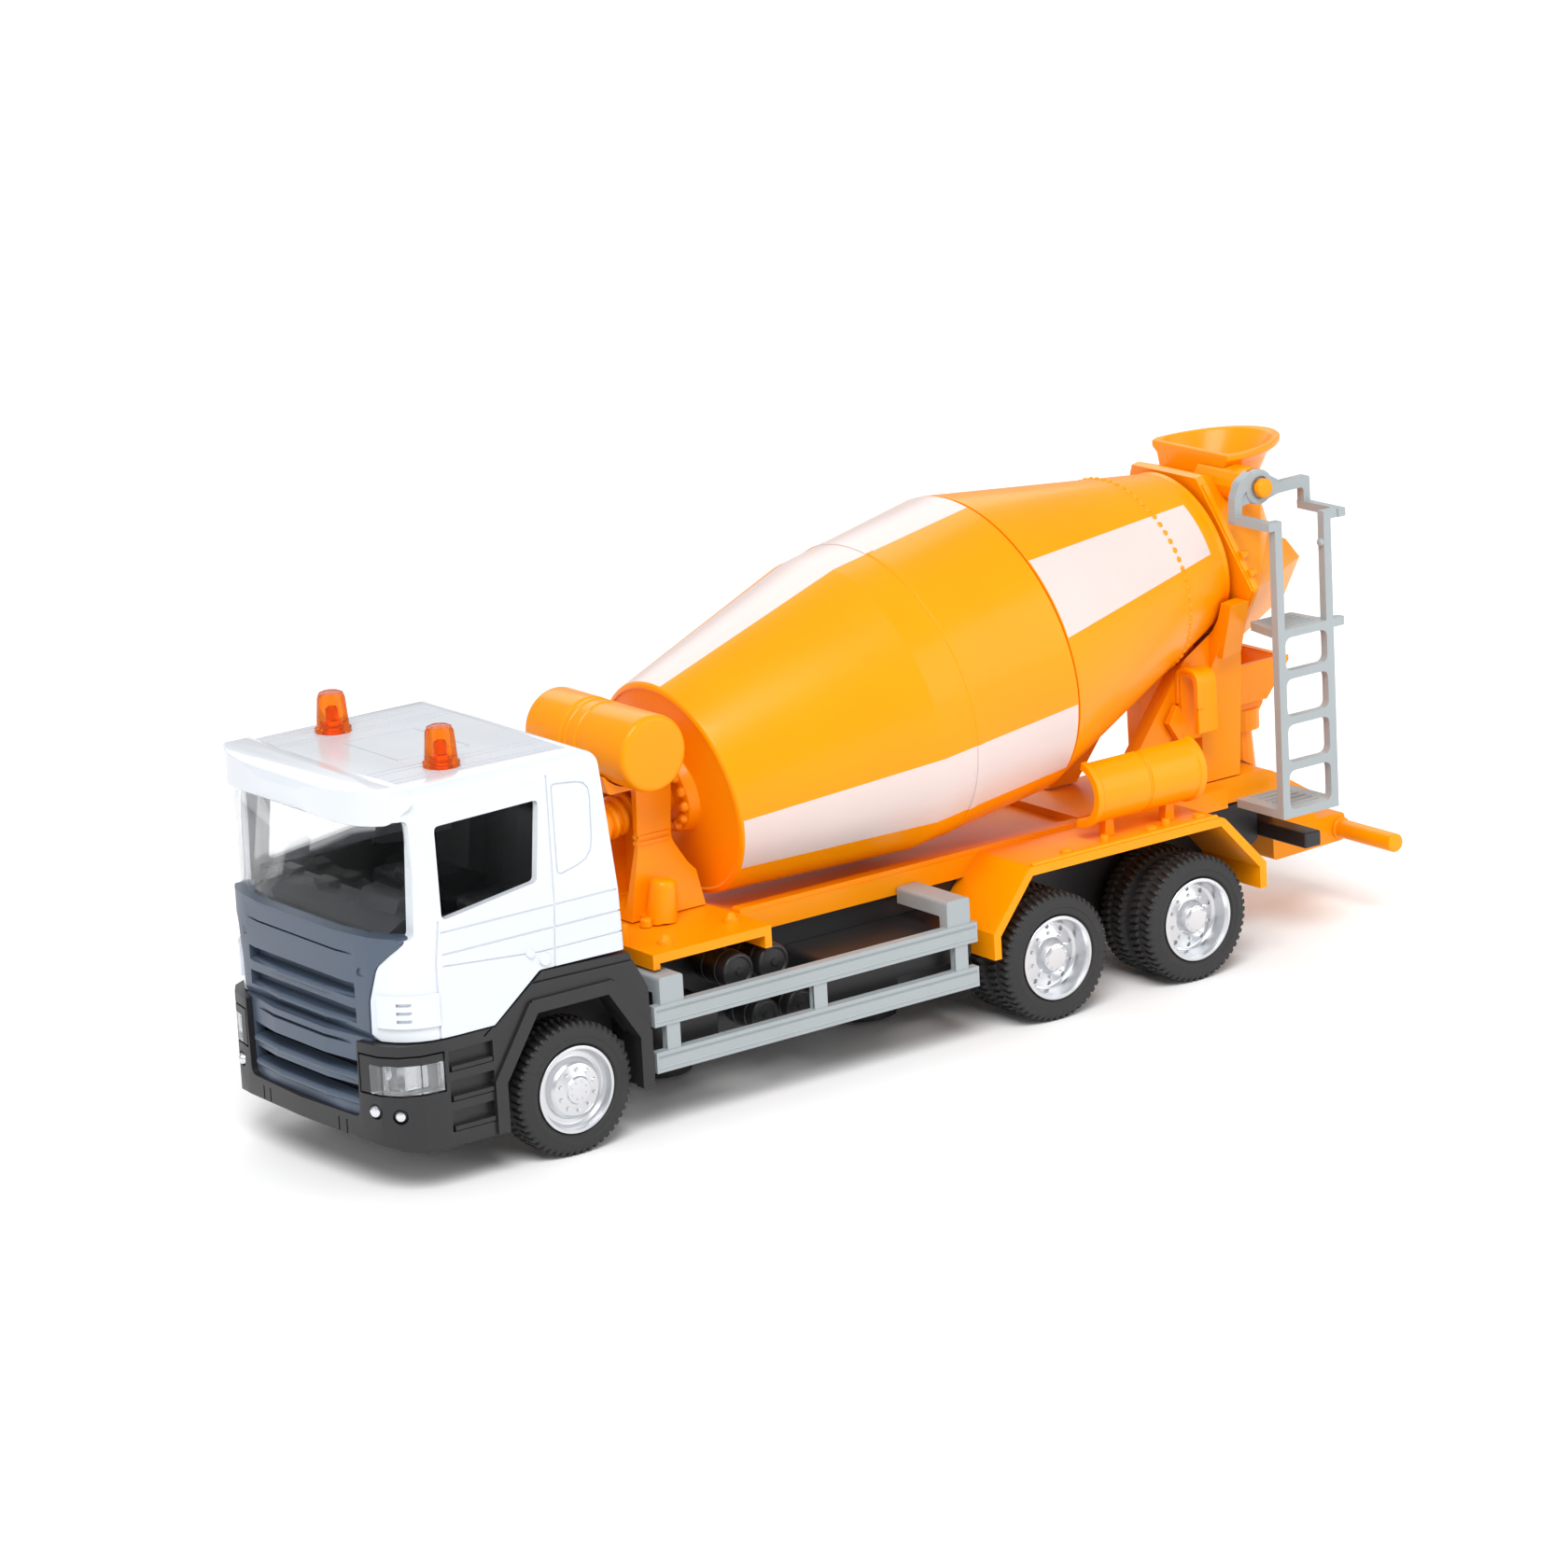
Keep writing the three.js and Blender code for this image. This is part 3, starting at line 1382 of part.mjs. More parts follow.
/** Side ladder: hub and two arms that step outwards, rails, rungs and two platforms. */
function ladder() {
  const [hubIn, hubOut] = LADDER_HUB_Y;
  const armZ = [56.6, 57.7];
  const [frontRail, backRail] = LADDER_RAILS;
  const flat = (corners, near, far) => pushed(outline(corners), "y", near, far);
  const hub = acrossAt(LADDER_PIN_X, LADDER_PIN_Z, hubIn, hubOut, 2.3);
  const frontArm = flat(
    [
      [-115.6, 63],
      [-112.6, 61.6],
      [-112, armZ[0]],
      [-113.1, armZ[0]],
      [-113.7, 60.8],
      [-115.8, 61.6],
    ],
    hubIn,
    hubOut,
  );
  const backArm = flat(
    [
      [-117.6, 61.6],
      [-125, 60.3],
      [-125, armZ[0]],
      [-123.9, armZ[0]],
      [-123.9, 59.3],
      [-117.6, 59.9],
    ],
    hubIn,
    hubOut,
  );
  const frontStep = box([-113.4, hubIn, armZ[0]], [-112.2, LADDER_OUT_Y, armZ[1]]);
  const backStep = box([-125, hubIn, armZ[0]], [-123.8, LADDER_OUT_Y, armZ[1]]);
  const backTie = box([-125, LADDER_IN_Y, armZ[0]], [backRail[1], LADDER_OUT_Y, armZ[1]]);
  const frontTie = box([frontRail[0], LADDER_IN_Y, armZ[0]], [-112.2, LADDER_OUT_Y, armZ[1]]);
  const rails = LADDER_RAILS.map(([back, front]) =>
    box([back, LADDER_IN_Y, LADDER_LOW_Z], [front, LADDER_OUT_Y, armZ[1]]),
  );
  const rungs = RUNG_LOW_ZS.map((z) =>
    box([backRail[0], LADDER_IN_Y, z], [frontRail[1], LADDER_OUT_Y, z + RUNG_H]),
  );
  const platform = (near, low, taper, back) =>
    pushed(
      outline([
        [frontRail[1], LADDER_OUT_Y],
        [back, LADDER_OUT_Y],
        [back, LADDER_IN_Y],
        [backRail[0] + taper, near],
        [frontRail[1] - taper, near],
      ]),
      "z",
      low,
      low + RUNG_H,
    );
  const lowPlatform = platform(RAIL_OUT_Y + 0.6, LADDER_LOW_Z, 0, backRail[0]);
  const highPlatform = platform(12, 42.2, 1.2, backRail[0] - 2);
  const bore = acrossAt(LADDER_PIN_X, LADDER_PIN_Z, 0, 30, PIN_R + 0.15);
  const frame = join(hub, frontArm, backArm, frontStep, backStep, frontTie, backTie, ...rails, ...rungs);
  return cut(join(frame, lowPlatform, highPlatform), bore);
}

piece("ladder", ladder(), GREY_PLASTIC);

truck.position.x = -(NOSE_X + TAIL_X) / 2;

export default truck;
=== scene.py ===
"""Looks of the toy concrete mixer truck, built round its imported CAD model."""

import math

import bmesh
import bpy
from mathutils import Matrix, Vector


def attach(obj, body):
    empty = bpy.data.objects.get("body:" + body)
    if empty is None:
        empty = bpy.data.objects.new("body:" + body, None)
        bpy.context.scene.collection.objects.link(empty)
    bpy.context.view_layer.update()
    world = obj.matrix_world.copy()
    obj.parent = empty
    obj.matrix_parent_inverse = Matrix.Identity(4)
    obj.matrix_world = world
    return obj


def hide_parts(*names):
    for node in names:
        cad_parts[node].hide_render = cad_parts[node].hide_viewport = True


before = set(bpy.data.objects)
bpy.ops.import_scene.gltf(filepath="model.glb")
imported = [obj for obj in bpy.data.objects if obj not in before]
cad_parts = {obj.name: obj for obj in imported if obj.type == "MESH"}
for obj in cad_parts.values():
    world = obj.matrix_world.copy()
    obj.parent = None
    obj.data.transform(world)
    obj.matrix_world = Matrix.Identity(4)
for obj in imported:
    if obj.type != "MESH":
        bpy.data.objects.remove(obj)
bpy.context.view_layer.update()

# Pieces are drawn in the truck's own frame: millimetres, X forward from the front axle, Z up from the ground.
MM = 0.001
AXLE_TO_MIDDLE = 53.8
TO_ROW = Matrix.Scale(MM, 4) @ Matrix.Translation((AXLE_TO_MIDDLE, 0, 0))
SIDES = (("left", 1), ("right", -1))
X, Y, Z = Vector((1, 0, 0)), Vector((0, 1, 0)), Vector((0, 0, 1))

# ---------------- materials


def linear(red, green, blue):
    """A screen colour from 0 to 255 as linear light."""
    channels = []
    for value in (red, green, blue):
        c = value / 255
        channels.append(c / 12.92 if c <= 0.04045 else ((c + 0.055) / 1.055) ** 2.4)
    return (*channels, 1.0)


def moulded(name, rgb, rough, spread=0.06, grain=900, bump=0.05, tint=0.03, **shader):
    """Moulded or painted surface: roughness, colour and relief all vary a little over it."""
    material = bpy.data.materials.new(name)
    material.use_nodes = True
    nodes, links = material.node_tree.nodes, material.node_tree.links
    principled = nodes["Principled BSDF"]
    for socket, value in shader.items():
        principled.inputs[socket.replace("_", " ")].default_value = value
    place = nodes.new("ShaderNodeTexCoord")

    def noise(scale, detail):
        texture = nodes.new("ShaderNodeTexNoise")
        texture.inputs["Scale"].default_value = scale
        texture.inputs["Detail"].default_value = detail
        links.new(place.outputs["Object"], texture.inputs["Vector"])
        return texture.outputs["Fac"]

    clouds = noise(60, 5)
    fine = noise(grain, 3)
    shades = nodes.new("ShaderNodeValToRGB")
    base = linear(*rgb)
    for stop, position, factor in zip(shades.color_ramp.elements, (0.3, 0.7), (1 - tint, 1 + tint)):
        stop.position = position
        stop.color = (*[min(1, c * factor) for c in base[:3]], 1)
    links.new(clouds, shades.inputs["Fac"])
    links.new(shades.outputs["Color"], principled.inputs["Base Color"])
    polish = nodes.new("ShaderNodeMapRange")
    polish.inputs["To Min"].default_value = max(0.02, rough - spread)
    polish.inputs["To Max"].default_value = rough + spread
    links.new(clouds, polish.inputs["Value"])
    links.new(polish.outputs["Result"], principled.inputs["Roughness"])
    relief = nodes.new("ShaderNodeBump")
    relief.inputs["Strength"].default_value = bump
    relief.inputs["Distance"].default_value = 0.00005
    links.new(fine, relief.inputs["Height"])
    links.new(relief.outputs["Normal"], principled.inputs["Normal"])
    return material


WHITE = moulded("white_enamel", (216, 221, 228), 0.2, Coat_Weight=0.5)
YELLOW = moulded("yellow_plastic", (255, 153, 0), 0.3, Coat_Weight=0.06, Specular_IOR_Level=0.22)
STRIPE = moulded("stripe_print", (226, 207, 202), 0.3)
GREY = moulded("grey_plastic", (160, 168, 171), 0.42)
SLATE = moulded("slate_plastic", (74, 86, 103), 0.36)
BLACK = moulded("black_plastic", (34, 34, 36), 0.42, bump=0.12)
INTERIOR = moulded("interior_plastic", (62, 63, 66), 0.55, bump=0.1)
RUBBER = moulded("tyre_rubber", (40, 40, 41), 0.68, bump=0.3)
RIM = moulded("bright_rim", (218, 220, 223), 0.3, bump=0.01, Metallic=1.0)
STEEL = moulded("steel_pin", (180, 182, 186), 0.32, Metallic=1.0)
GLASS = moulded("clear_glazing", (250, 252, 253), 0.02, 0.01, bump=0.0,
                Transmission_Weight=1.0, IOR=1.12, Alpha=0.3)
LENS = moulded("lamp_lens", (240, 242, 244), 0.06, 0.03, Transmission_Weight=0.85, IOR=1.3)
AMBER = moulded("amber_lens", (255, 128, 20), 0.06, 0.03, Transmission_Weight=0.85, IOR=1.3)
REFLECTOR = moulded("lamp_reflector", (225, 228, 232), 0.25, Metallic=0.9)

# ---------------- mesh helpers


def rounded(corners, closed=True, steps=5):
    """Corners [a, b, radius] as a list of points with those corners rounded off."""
    points = []
    count = len(corners)
    for i, corner in enumerate(corners):
        here = Vector(corner[:2])
        radius = corner[2] if len(corner) > 2 else 0
        if radius == 0 or (not closed and i in (0, count - 1)):
            points.append(here)
            continue
        back = Vector(corners[i - 1][:2]) - here
        ahead = Vector(corners[(i + 1) % count][:2]) - here
        half = back.angle(ahead) / 2
        reach = min(radius / math.tan(half), 0.48 * back.length, 0.48 * ahead.length)
        start = here + back.normalized() * reach
        end = here + ahead.normalized() * reach
        for k in range(steps + 1):
            t = k / steps
            points.append(start * (1 - t) ** 2 + here * 2 * t * (1 - t) + end * t**2)
    return points


def skin(rings, wrap=False):
    """Closed mesh through rings of equally many points; with wrap the last ring joins the first."""
    bm = bmesh.new()
    made = [[bm.verts.new(p) for p in ring] for ring in rings]
    count = len(made[0])
    pairs = list(zip(made, made[1:]))
    if wrap:
        pairs.append((made[-1], made[0]))
    for low, high in pairs:
        for i in range(count):
            j = (i + 1) % count
            bm.faces.new([low[i], low[j], high[j], high[i]])
    if not wrap:
        bm.faces.new(list(reversed(made[0])))
        bm.faces.new(made[-1])
    bmesh.ops.remove_doubles(bm, verts=bm.verts, dist=5e-4)
    bmesh.ops.recalc_face_normals(bm, faces=bm.faces)
    return bm


def lathe(profile, start, direction, sides=72, wrap=False, steps=5):
    """Profile corners [radius, distance, rounding] turned about a direction through a start point."""
    turn = Z.rotation_difference(Vector(direction)).to_matrix()
    rings = []
    for radius, distance in rounded(profile, closed=False, steps=steps):
        ring = []
        for k in range(sides):
            angle = 2 * math.pi * k / sides
            out = Vector((math.cos(angle), math.sin(angle), 0)) * max(radius, 1e-4)
            ring.append(turn @ (out + Z * distance) + Vector(start))
        rings.append(ring)
    return skin(rings, wrap=wrap)


AXIS_FRAMES = {"x": (Y, Z, X), "y": (X, Z, Y), "z": (X, Y, Z)}


def prism(corners, axis, low, high, steps=5):
    """A closed outline [a, b, rounding] in the other two axes pushed from low to high along an axis."""
    u, v, w = AXIS_FRAMES[axis]
    points = rounded(corners, steps=steps)
    return skin([[u * p.x + v * p.y + w * level for p in points] for level in (low, high)])


def mirrored(half, *middle, at=0):
    """A symmetric outline: one half's corners, any on the centre line, then the mirror images of the half."""
    images = []
    for corner in reversed(half):
        image = list(corner)
        image[at] = -image[at]
        images.append(image)
    return [*half, *middle, *images]


def rectangle(a0, b0, a1, b1, radius=0):
    return [(a0, b0, radius), (a1, b0, radius), (a1, b1, radius), (a0, b1, radius)]


def block(low, high):
    return prism(rectangle(low[0], low[1], high[0], high[1]), "z", low[2], high[2])


def side_span(side, near, far):
    """The range between two distances from the truck's middle, on the side asked for."""
    return sorted((side * near, side * far))


def side_block(side, low, high):
    """A block given for the left side, mirrored onto the side asked for."""
    y0, y1 = side_span(side, low[1], high[1])
    return block((low[0], y0, low[2]), (high[0], y1, high[2]))


def rod(start, end, radius, end_radius, sides=24):
    along = Vector(end) - Vector(start)
    return lathe([(radius, 0), (end_radius, along.length)], start, along, sides)


def moved(bm, matrix):
    bmesh.ops.transform(bm, matrix=matrix, verts=bm.verts)
    if matrix.determinant() < 0:
        bmesh.ops.reverse_faces(bm, faces=bm.faces)
    return bm


def new_mesh(name, bm):
    mesh = bpy.data.meshes.new(name)
    bm.to_mesh(mesh)
    bm.free()
    return mesh


def new_object(name, data):
    thing = bpy.data.objects.new(name, data)
    bpy.context.scene.collection.objects.link(thing)
    return thing


def boolean(operation, base, tools):
    """Cuts, joins or intersects shapes by way of temporary objects."""
    things = [new_object("part", new_mesh("part", bm)) for bm in (base, *tools)]
    for other in things[1:]:
        step = things[0].modifiers.new("step", "BOOLEAN")
        step.operation = operation
        step.solver = "MANIFOLD"
        step.object = other
    view = bpy.context.evaluated_depsgraph_get()
    mesh = bpy.data.meshes.new_from_object(things[0].evaluated_get(view))
    result = bmesh.new()
    result.from_mesh(mesh)
    bpy.data.meshes.remove(mesh)
    for thing in things:
        mesh = thing.data
        bpy.data.objects.remove(thing)
        bpy.data.meshes.remove(mesh)
    bmesh.ops.remove_doubles(result, verts=result.verts, dist=1e-4)
    bmesh.ops.dissolve_limit(result, angle_limit=0.01, verts=result.verts, edges=result.edges)
    return result


def cut(base, *tools):
    return boolean("DIFFERENCE", base, tools)


def join(base, *tools):
    return boolean("UNION", base, tools)


def common(base, *tools):
    return boolean("INTERSECT", base, tools)


def together(*parts):
    """Several closed shapes kept side by side in one mesh."""
    result = bmesh.new()
    for part in parts:
        mesh = new_mesh("part", part)
        result.from_mesh(mesh)
        bpy.data.meshes.remove(mesh)
    return result


SMOOTH_ANGLE = math.radians(32)


def soften(thing, width, segments=2):
    """Rounds a piece's sharp edges."""
    bevel = thing.modifiers.new("edges", "BEVEL")
    bevel.width = width * MM
    bevel.segments = segments
    bevel.limit_method = "ANGLE"
    bevel.angle_limit = SMOOTH_ANGLE
    bevel.use_clamp_overlap = True
    bevel.harden_normals = True


def piece(name, bm, material, node=None, bevel=0.0, segments=2, body="chassis"):
    """A finished piece of the truck that rides on a body and may stand for a CAD node."""
    mesh = new_mesh(name, moved(bm, TO_ROW))
    mesh.materials.append(material)
    for polygon in mesh.polygons:
        polygon.use_smooth = True
    mesh.set_sharp_from_angle(angle=SMOOTH_ANGLE)
    thing = new_object(name, mesh)
    if bevel:
        soften(thing, bevel, segments)
    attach(thing, body)
    if node:
        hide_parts(node)


def stand_in(node, bm, material, bevel=0.0, segments=2, body="chassis"):
    """A finished piece named after the CAD node that it stands for."""
    piece(f"{node}_look", bm, material, node, bevel, segments, body)


def dress(node, material, bevel=0.2, segments=2):
    """Shows a CAD node as it is, with its edges rounded and a finish of its own."""
    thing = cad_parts[node]
    for spot in thing.material_slots:
        spot.material = material
    weld = thing.modifiers.new("weld", "WELD")
    weld.merge_threshold = 0.002 * MM
    if bevel:
        soften(thing, bevel, segments)


# ---------------- wheels

HALF_WIDTH = 19.8
TYRE_R = 8.3
RIM_R = 5.5
LUGS = 52
LUG_SHAPE = ((0.0, 0), (0.12, 1), (0.55, 1), (0.67, 0))  # share of the pitch, and whether it is on a lug


def tyre_ring(x, side, start, width):
    """One tyre with a row of block lugs on each half of its tread."""
    base, top = 7.95, TYRE_R
    columns = [
        (RIM_R + 0.06, RIM_R + 0.06, 0.35, 0), (RIM_R + 0.3, RIM_R + 0.3, 0.0, 0),
        (6.5, 6.5, -0.02, 0), (6.62, 6.62, -0.1, 0), (6.8, 6.8, -0.02, 0), (7.45, 7.45, 0.1, 0),
        (7.72, 7.95, 0.28, 0), (base, top, 0.6, 0), (base, top, 0.4 * width, 0.3),
        (base - 0.1, base - 0.1, 0.44 * width, 0.3),
    ]
    other = [(low, high, width - d, skew + 0.5) for low, high, d, skew in reversed(columns)]
    centre = Vector((x, side * (HALF_WIDTH - start), TYRE_R))
    rings = []
    for low, high, d, skew in columns + other:
        ring = []
        for lug in range(LUGS):
            for share, raised in LUG_SHAPE:
                angle = 2 * math.pi * (lug + share + skew) / LUGS
                radius = high if raised else low
                ring.append(centre + Vector((radius * math.cos(angle), -side * d, radius * math.sin(angle))))
        rings.append(ring)
    return skin(rings, wrap=True)


FRONT_TYRE_W = 5.6
DUAL_TYRE_W = 4.7
DUAL_GAP = 0.9


def studs(count, radius, centre, side, depth, height, size, sides=6):
    """A ring of small studs on a wheel, standing out sideways."""
    made = []
    for k in range(count):
        angle = 2 * math.pi * (k + 0.5) / count
        foot = centre + Vector((radius * math.cos(angle), -side * depth, radius * math.sin(angle)))
        made.append(rod(foot, foot + Vector((0, side * height, 0)), size, size * 0.8, sides))
    return made


def rim_lip(width):
    """Back face, barrel and rounded outer lip, alike on every rim."""
    return [(0, width - 0.2), (RIM_R, width - 0.2), (RIM_R, 0.35), (5.42, 0.05, 0.1), (5.0, -0.02, 0.1)]


def front_rim(x, side):
    face = Vector((x, side * HALF_WIDTH, TYRE_R))
    profile = [
        *rim_lip(FRONT_TYRE_W), (4.85, 0.9, 0.2), (4.5, 1.35, 0.2), (3.85, 1.3, 0.2),
        (3.55, 0.5, 0.2), (3.2, 0.15, 0.3), (1.75, -0.12, 0.1), (1.6, -0.42, 0.1), (0, -0.5),
    ]
    body = lathe(profile, face, (0, -side, 0), 96, steps=3)
    bolts = studs(10, 2.55, face, side, 0.1, 0.3, 0.3)
    cap = studs(8, 1.1, face, side, -0.35, 0.2, 0.14)
    return together(body, *bolts, *cap)


def dual_rim(x, side):
    face = Vector((x, side * HALF_WIDTH, TYRE_R))
    profile = [
        *rim_lip(2 * DUAL_TYRE_W + DUAL_GAP), (4.8, 0.5, 0.2), (4.45, 2.0, 0.3), (4.1, 2.3, 0.2),
        (2.3, 1.75, 0.2), (2.1, 1.1, 0.2), (1.8, 0.45, 0.2), (1.3, 0.25, 0.1), (0, 0.2),
    ]
    body = lathe(profile, face, (0, -side, 0), 96, steps=3)
    holes = studs(10, 3.75, face, side, 2.7, 1.2, 0.36, 12)
    bolts = studs(10, 2.9, face, side, 2.1, 0.42, 0.26)
    cap = studs(10, 1.55, face, side, 0.5, 0.25, 0.16)
    return together(cut(body, *holes), *bolts, *cap)


def dual_tyres(x, side):
    """Two tyres side by side and the narrower band that joins them."""
    inner = DUAL_TYRE_W + DUAL_GAP
    near, far = DUAL_TYRE_W - 0.5, inner + 0.5
    low, high = RIM_R + 0.1, 6.6
    face = (x, side * HALF_WIDTH, TYRE_R)
    band = lathe([(low, near), (high, near), (high, far), (low, far)], face, (0, -side, 0), wrap=True)
    return together(tyre_ring(x, side, 0, DUAL_TYRE_W), tyre_ring(x, side, inner, DUAL_TYRE_W), band)


def add_wheels(axle, x):
    body = f"{axle}_wheels"
    for side_name, side in SIDES:
        if axle == "front":
            tyre = tyre_ring(x, side, 0, FRONT_TYRE_W)
            rim = front_rim(x, side)
        else:
            tyre = dual_tyres(x, side)
            rim = dual_rim(x, side)
        stand_in(f"tyre_{axle}_{side_name}", tyre, RUBBER, body=body)
        stand_in(f"rim_{axle}_{side_name}", rim, RIM, body=body)
    dress(f"{axle}_axle", STEEL, 0.1)


for axle, x in (("front", 0), ("middle", -74.3), ("rear", -97.5)):
    add_wheels(axle, x)

# ---------------- drum

TILT = math.radians(10.66)
DRUM_FRONT = Vector((-29.9, 0, 35.8))
DRUM_AXIS = Vector((-math.cos(TILT), 0, math.sin(TILT)))
DRUM_UP = Vector((math.sin(TILT), 0, math.cos(TILT)))
DRUM_PROFILE = ((0, 14.0), (28, 19.7), (49.4, 20.4), (82.6, 11.1))
DRUM_SIDES = 144
FLANGE_BEADS = 14


def drum_radius(s):
    for (s0, r0), (s1, r1) in zip(DRUM_PROFILE, DRUM_PROFILE[1:]):
        if s <= s1:
            return r0 + (r1 - r0) * (s - s0) / (s1 - s0)
    return DRUM_PROFILE[-1][1]


def on_drum(s, angle, lift=0.0):
    """Point on the drum: s along the axis, angle from its top towards the truck's left."""
    radius = drum_radius(s) + lift
    return DRUM_FRONT + DRUM_AXIS * s + (DRUM_UP * math.cos(angle) + Y * math.sin(angle)) * radius


def drum_front():
    """Front half: rounded lip, raised seam, recessed front disc and a beaded flange with its trunnion."""
    seam = 33.6
    r = drum_radius
    profile = [
        (0, 1.4), (12.2, 1.4), (r(28) - 1.4, 28), (r(49) - 1.4, 49.3), (r(49.3), 49.3, 0.15),
        (r(seam + 0.5), seam + 0.5), (r(seam) + 0.1, seam + 0.1, 0.1),
        (r(seam) + 0.1, seam - 0.4, 0.1), (r(seam - 0.5), seam - 0.5), (r(28), 28, 3),
        (r(0.2), 0.2, 0.5), (13.4, 0.0, 0.2), (13.2, 0.25, 0.1), (5.6, 0.3, 0.2), (5.2, -1.1, 0.3),
        (2.2, -1.2), (2.2, -5.4), (0, -5.4),
    ]
    shell = lathe(profile, DRUM_FRONT, DRUM_AXIS, DRUM_SIDES, steps=4)
    bead = [(0, 0), (0.72, 0), (0.66, 0.5), (0.4, 0.85), (0, 0.98)]
    bumps = []
    for k in range(FLANGE_BEADS):
        angle = 2 * math.pi * k / FLANGE_BEADS
        out = DRUM_UP * math.cos(angle) + Y * math.sin(angle)
        bumps.append(lathe(bead, DRUM_FRONT + out * 4.35 - DRUM_AXIS * 0.95, -DRUM_AXIS, 16))
    return together(shell, *bumps)


def drum_rear():
    r = drum_radius
    profile = [
        (0, 82.2), (r(82) - 1.4, 82.2), (r(49.6) - 1.4, 49.55), (r(49.6), 49.55, 0.15),
        (r(82.6), 82.6, 0.3), (r(82.6), 83.4, 0.2), (2.2, 83.6), (2.2, 87.0), (0, 87.0),
    ]
    return lathe(profile, DRUM_FRONT, DRUM_AXIS, DRUM_SIDES, steps=4)


def patch(s0, s1, angles0, angles1, lift, steps=16):
    """A thin printed patch that follows the drum from one pair of edge angles to another."""
    thickness = 0.1
    rings = []
    levels = [s0, s1] + [s for s, _ in DRUM_PROFILE if s0 < s < s1]
    for s in sorted(levels):
        t = (s - s0) / (s1 - s0)
        start = angles0[0] + (angles1[0] - angles0[0]) * t
        end = angles0[1] + (angles1[1] - angles0[1]) * t
        sweep = [start + (end - start) * k / steps for k in range(steps + 1)]
        outer = [on_drum(s, math.radians(a), lift) for a in sweep]
        inner = [on_drum(s, math.radians(a), lift - thickness) for a in reversed(sweep)]
        rings.append(outer + inner)
    return skin(rings)


def rope_ring(s, count):
    """A ring of small round beads near the back of the drum."""
    beads = []
    for k in range(count):
        foot = on_drum(s, 2 * math.pi * k / count, -0.1)
        out = on_drum(s, 2 * math.pi * k / count, 1.0) - foot
        beads.append(lathe([(0, 0), (0.42, 0), (0.38, 0.2), (0.22, 0.32), (0, 0.36)], foot, out, 12))
    return together(*beads)


STRIPE_EDGES = (97, 128)
STRIPE_DRIFT = 0.113  # degrees the stripe turns for each millimetre along the drum
STRIPE_PARTS = (("front", 0.5, 33.1, 0.03), ("seam", 33.0, 34.2, 0.14), ("back", 34.1, 49.1, 0.03))


def add_stripe(number, turn):
    """One long stripe in three lengths, the middle one lifted over the seam."""
    for part, s0, s1, lift in STRIPE_PARTS:
        start, end = [[edge + turn + STRIPE_DRIFT * s for edge in STRIPE_EDGES] for s in (s0, s1)]
        piece(f"drum_stripe_{part}_{number}", patch(s0, s1, start, end, lift), STRIPE, body="drum")


def drum_patch(turn):
    """One of the wide printed patches on the drum's back half."""
    return patch(49.7, 80.6, (46.5 + turn, 77.5 + turn), (41 + turn, 77.5 + turn), 0.03)


def add_drum():
    piece("drum_front_look", drum_front(), YELLOW, "drum_front_shell", body="drum")
    piece("drum_rear_look", drum_rear(), YELLOW, "drum_rear_shell", body="drum")
    for i in range(3):
        turn = 120 * i
        add_stripe(i + 1, turn)
        piece(f"drum_patch_{i + 1}", drum_patch(turn), STRIPE, body="drum")
    piece("drum_rope_ring", rope_ring(74.4, 66), YELLOW, body="drum")


add_drum()

# ---------------- cab

CAB_HALF = 19.6
ROOF_HALF = 17.8
ROOF_Z = 49.2
SILL_Z = 18.9
CAB_BACK_X = -8.6
NOSE_X = 26.6
WALL = 1.0
ACROSS = (-24, 24)  # past both sides of the truck
WINDOW = ((17.4, 33.1, 0.7), (16.9, 44.2, 0.7), (2.0, 44.5, 0.7), (3.6, 34.9, 0.7))
CHEEK_TOP_Z = 31.3
VISOR_LOW_Z = 45.8
BELT_Z = 31.6


def cab_form(inset, low):
    """The cab's outside drawn in by an inset, from a lower edge up."""
    roof = ROOF_Z - inset
    side = [
        (CAB_BACK_X + inset, 14), (21.2 - inset, 14), (25.0 - inset, 20.4, 2.5),
        (25.5 - inset, 31.2, 1.2), (23.6 - inset, VISOR_LOW_Z - 0.2, 0.5),
        (26.0 - inset, VISOR_LOW_Z, 1.4), (26.1 - inset, roof + 0.1, 2.6), (18, roof + 0.2, 6),
        (-6.9 + inset, roof - 0.3, 2.2),
    ]
    half = CAB_HALF - inset
    nose = NOSE_X - 0.4 - inset
    plan = mirrored([(CAB_BACK_X + inset, -half, 1.2), (nose - 2.4, -half, 8.5), (nose, -3, 14)], at=1)
    roof_corner = (ROOF_HALF - inset, roof, 2.6)
    front = mirrored([(half, 8), (half, BELT_Z, 3), roof_corner], (0, roof + 0.35, 20))
    return common(
        prism(side, "y", *ACROSS, steps=8),
        prism(plan, "z", low, 60, steps=8),
        prism(front, "x", -20, 40, steps=8),
    )


def cab_room(back=-30, front=40, low=0, high=60):
    """A block across the whole cab between two places along it and two heights."""
    return block((back, ACROSS[0], low), (front, ACROSS[1], high))


GRILLE_FRONT = mirrored([(13.4, 8.6, 2.4), (13.8, 23.6, 3), (15.0, 27.8, 3), (18.7, 31.6, 0.8)])


def grille_block(grow, back):
    """The grille's front view, grown outwards by a gap, from a back face to past the nose."""
    centre = Vector((0, 20))
    points = [p + (p - centre).normalized() * grow for p in rounded(GRILLE_FRONT)]
    return prism(points, "x", back, 40)


def strip(a, b, width, overrun):
    """Corners of a straight strip from a to b that runs on a little past both."""
    along = (Vector(b) - Vector(a)).normalized()
    across = Vector((-along.y, along.x)) * width / 2
    start = Vector(a) - along * overrun
    end = Vector(b) + along * overrun
    return [start - across, end - across, end + across, start + across]


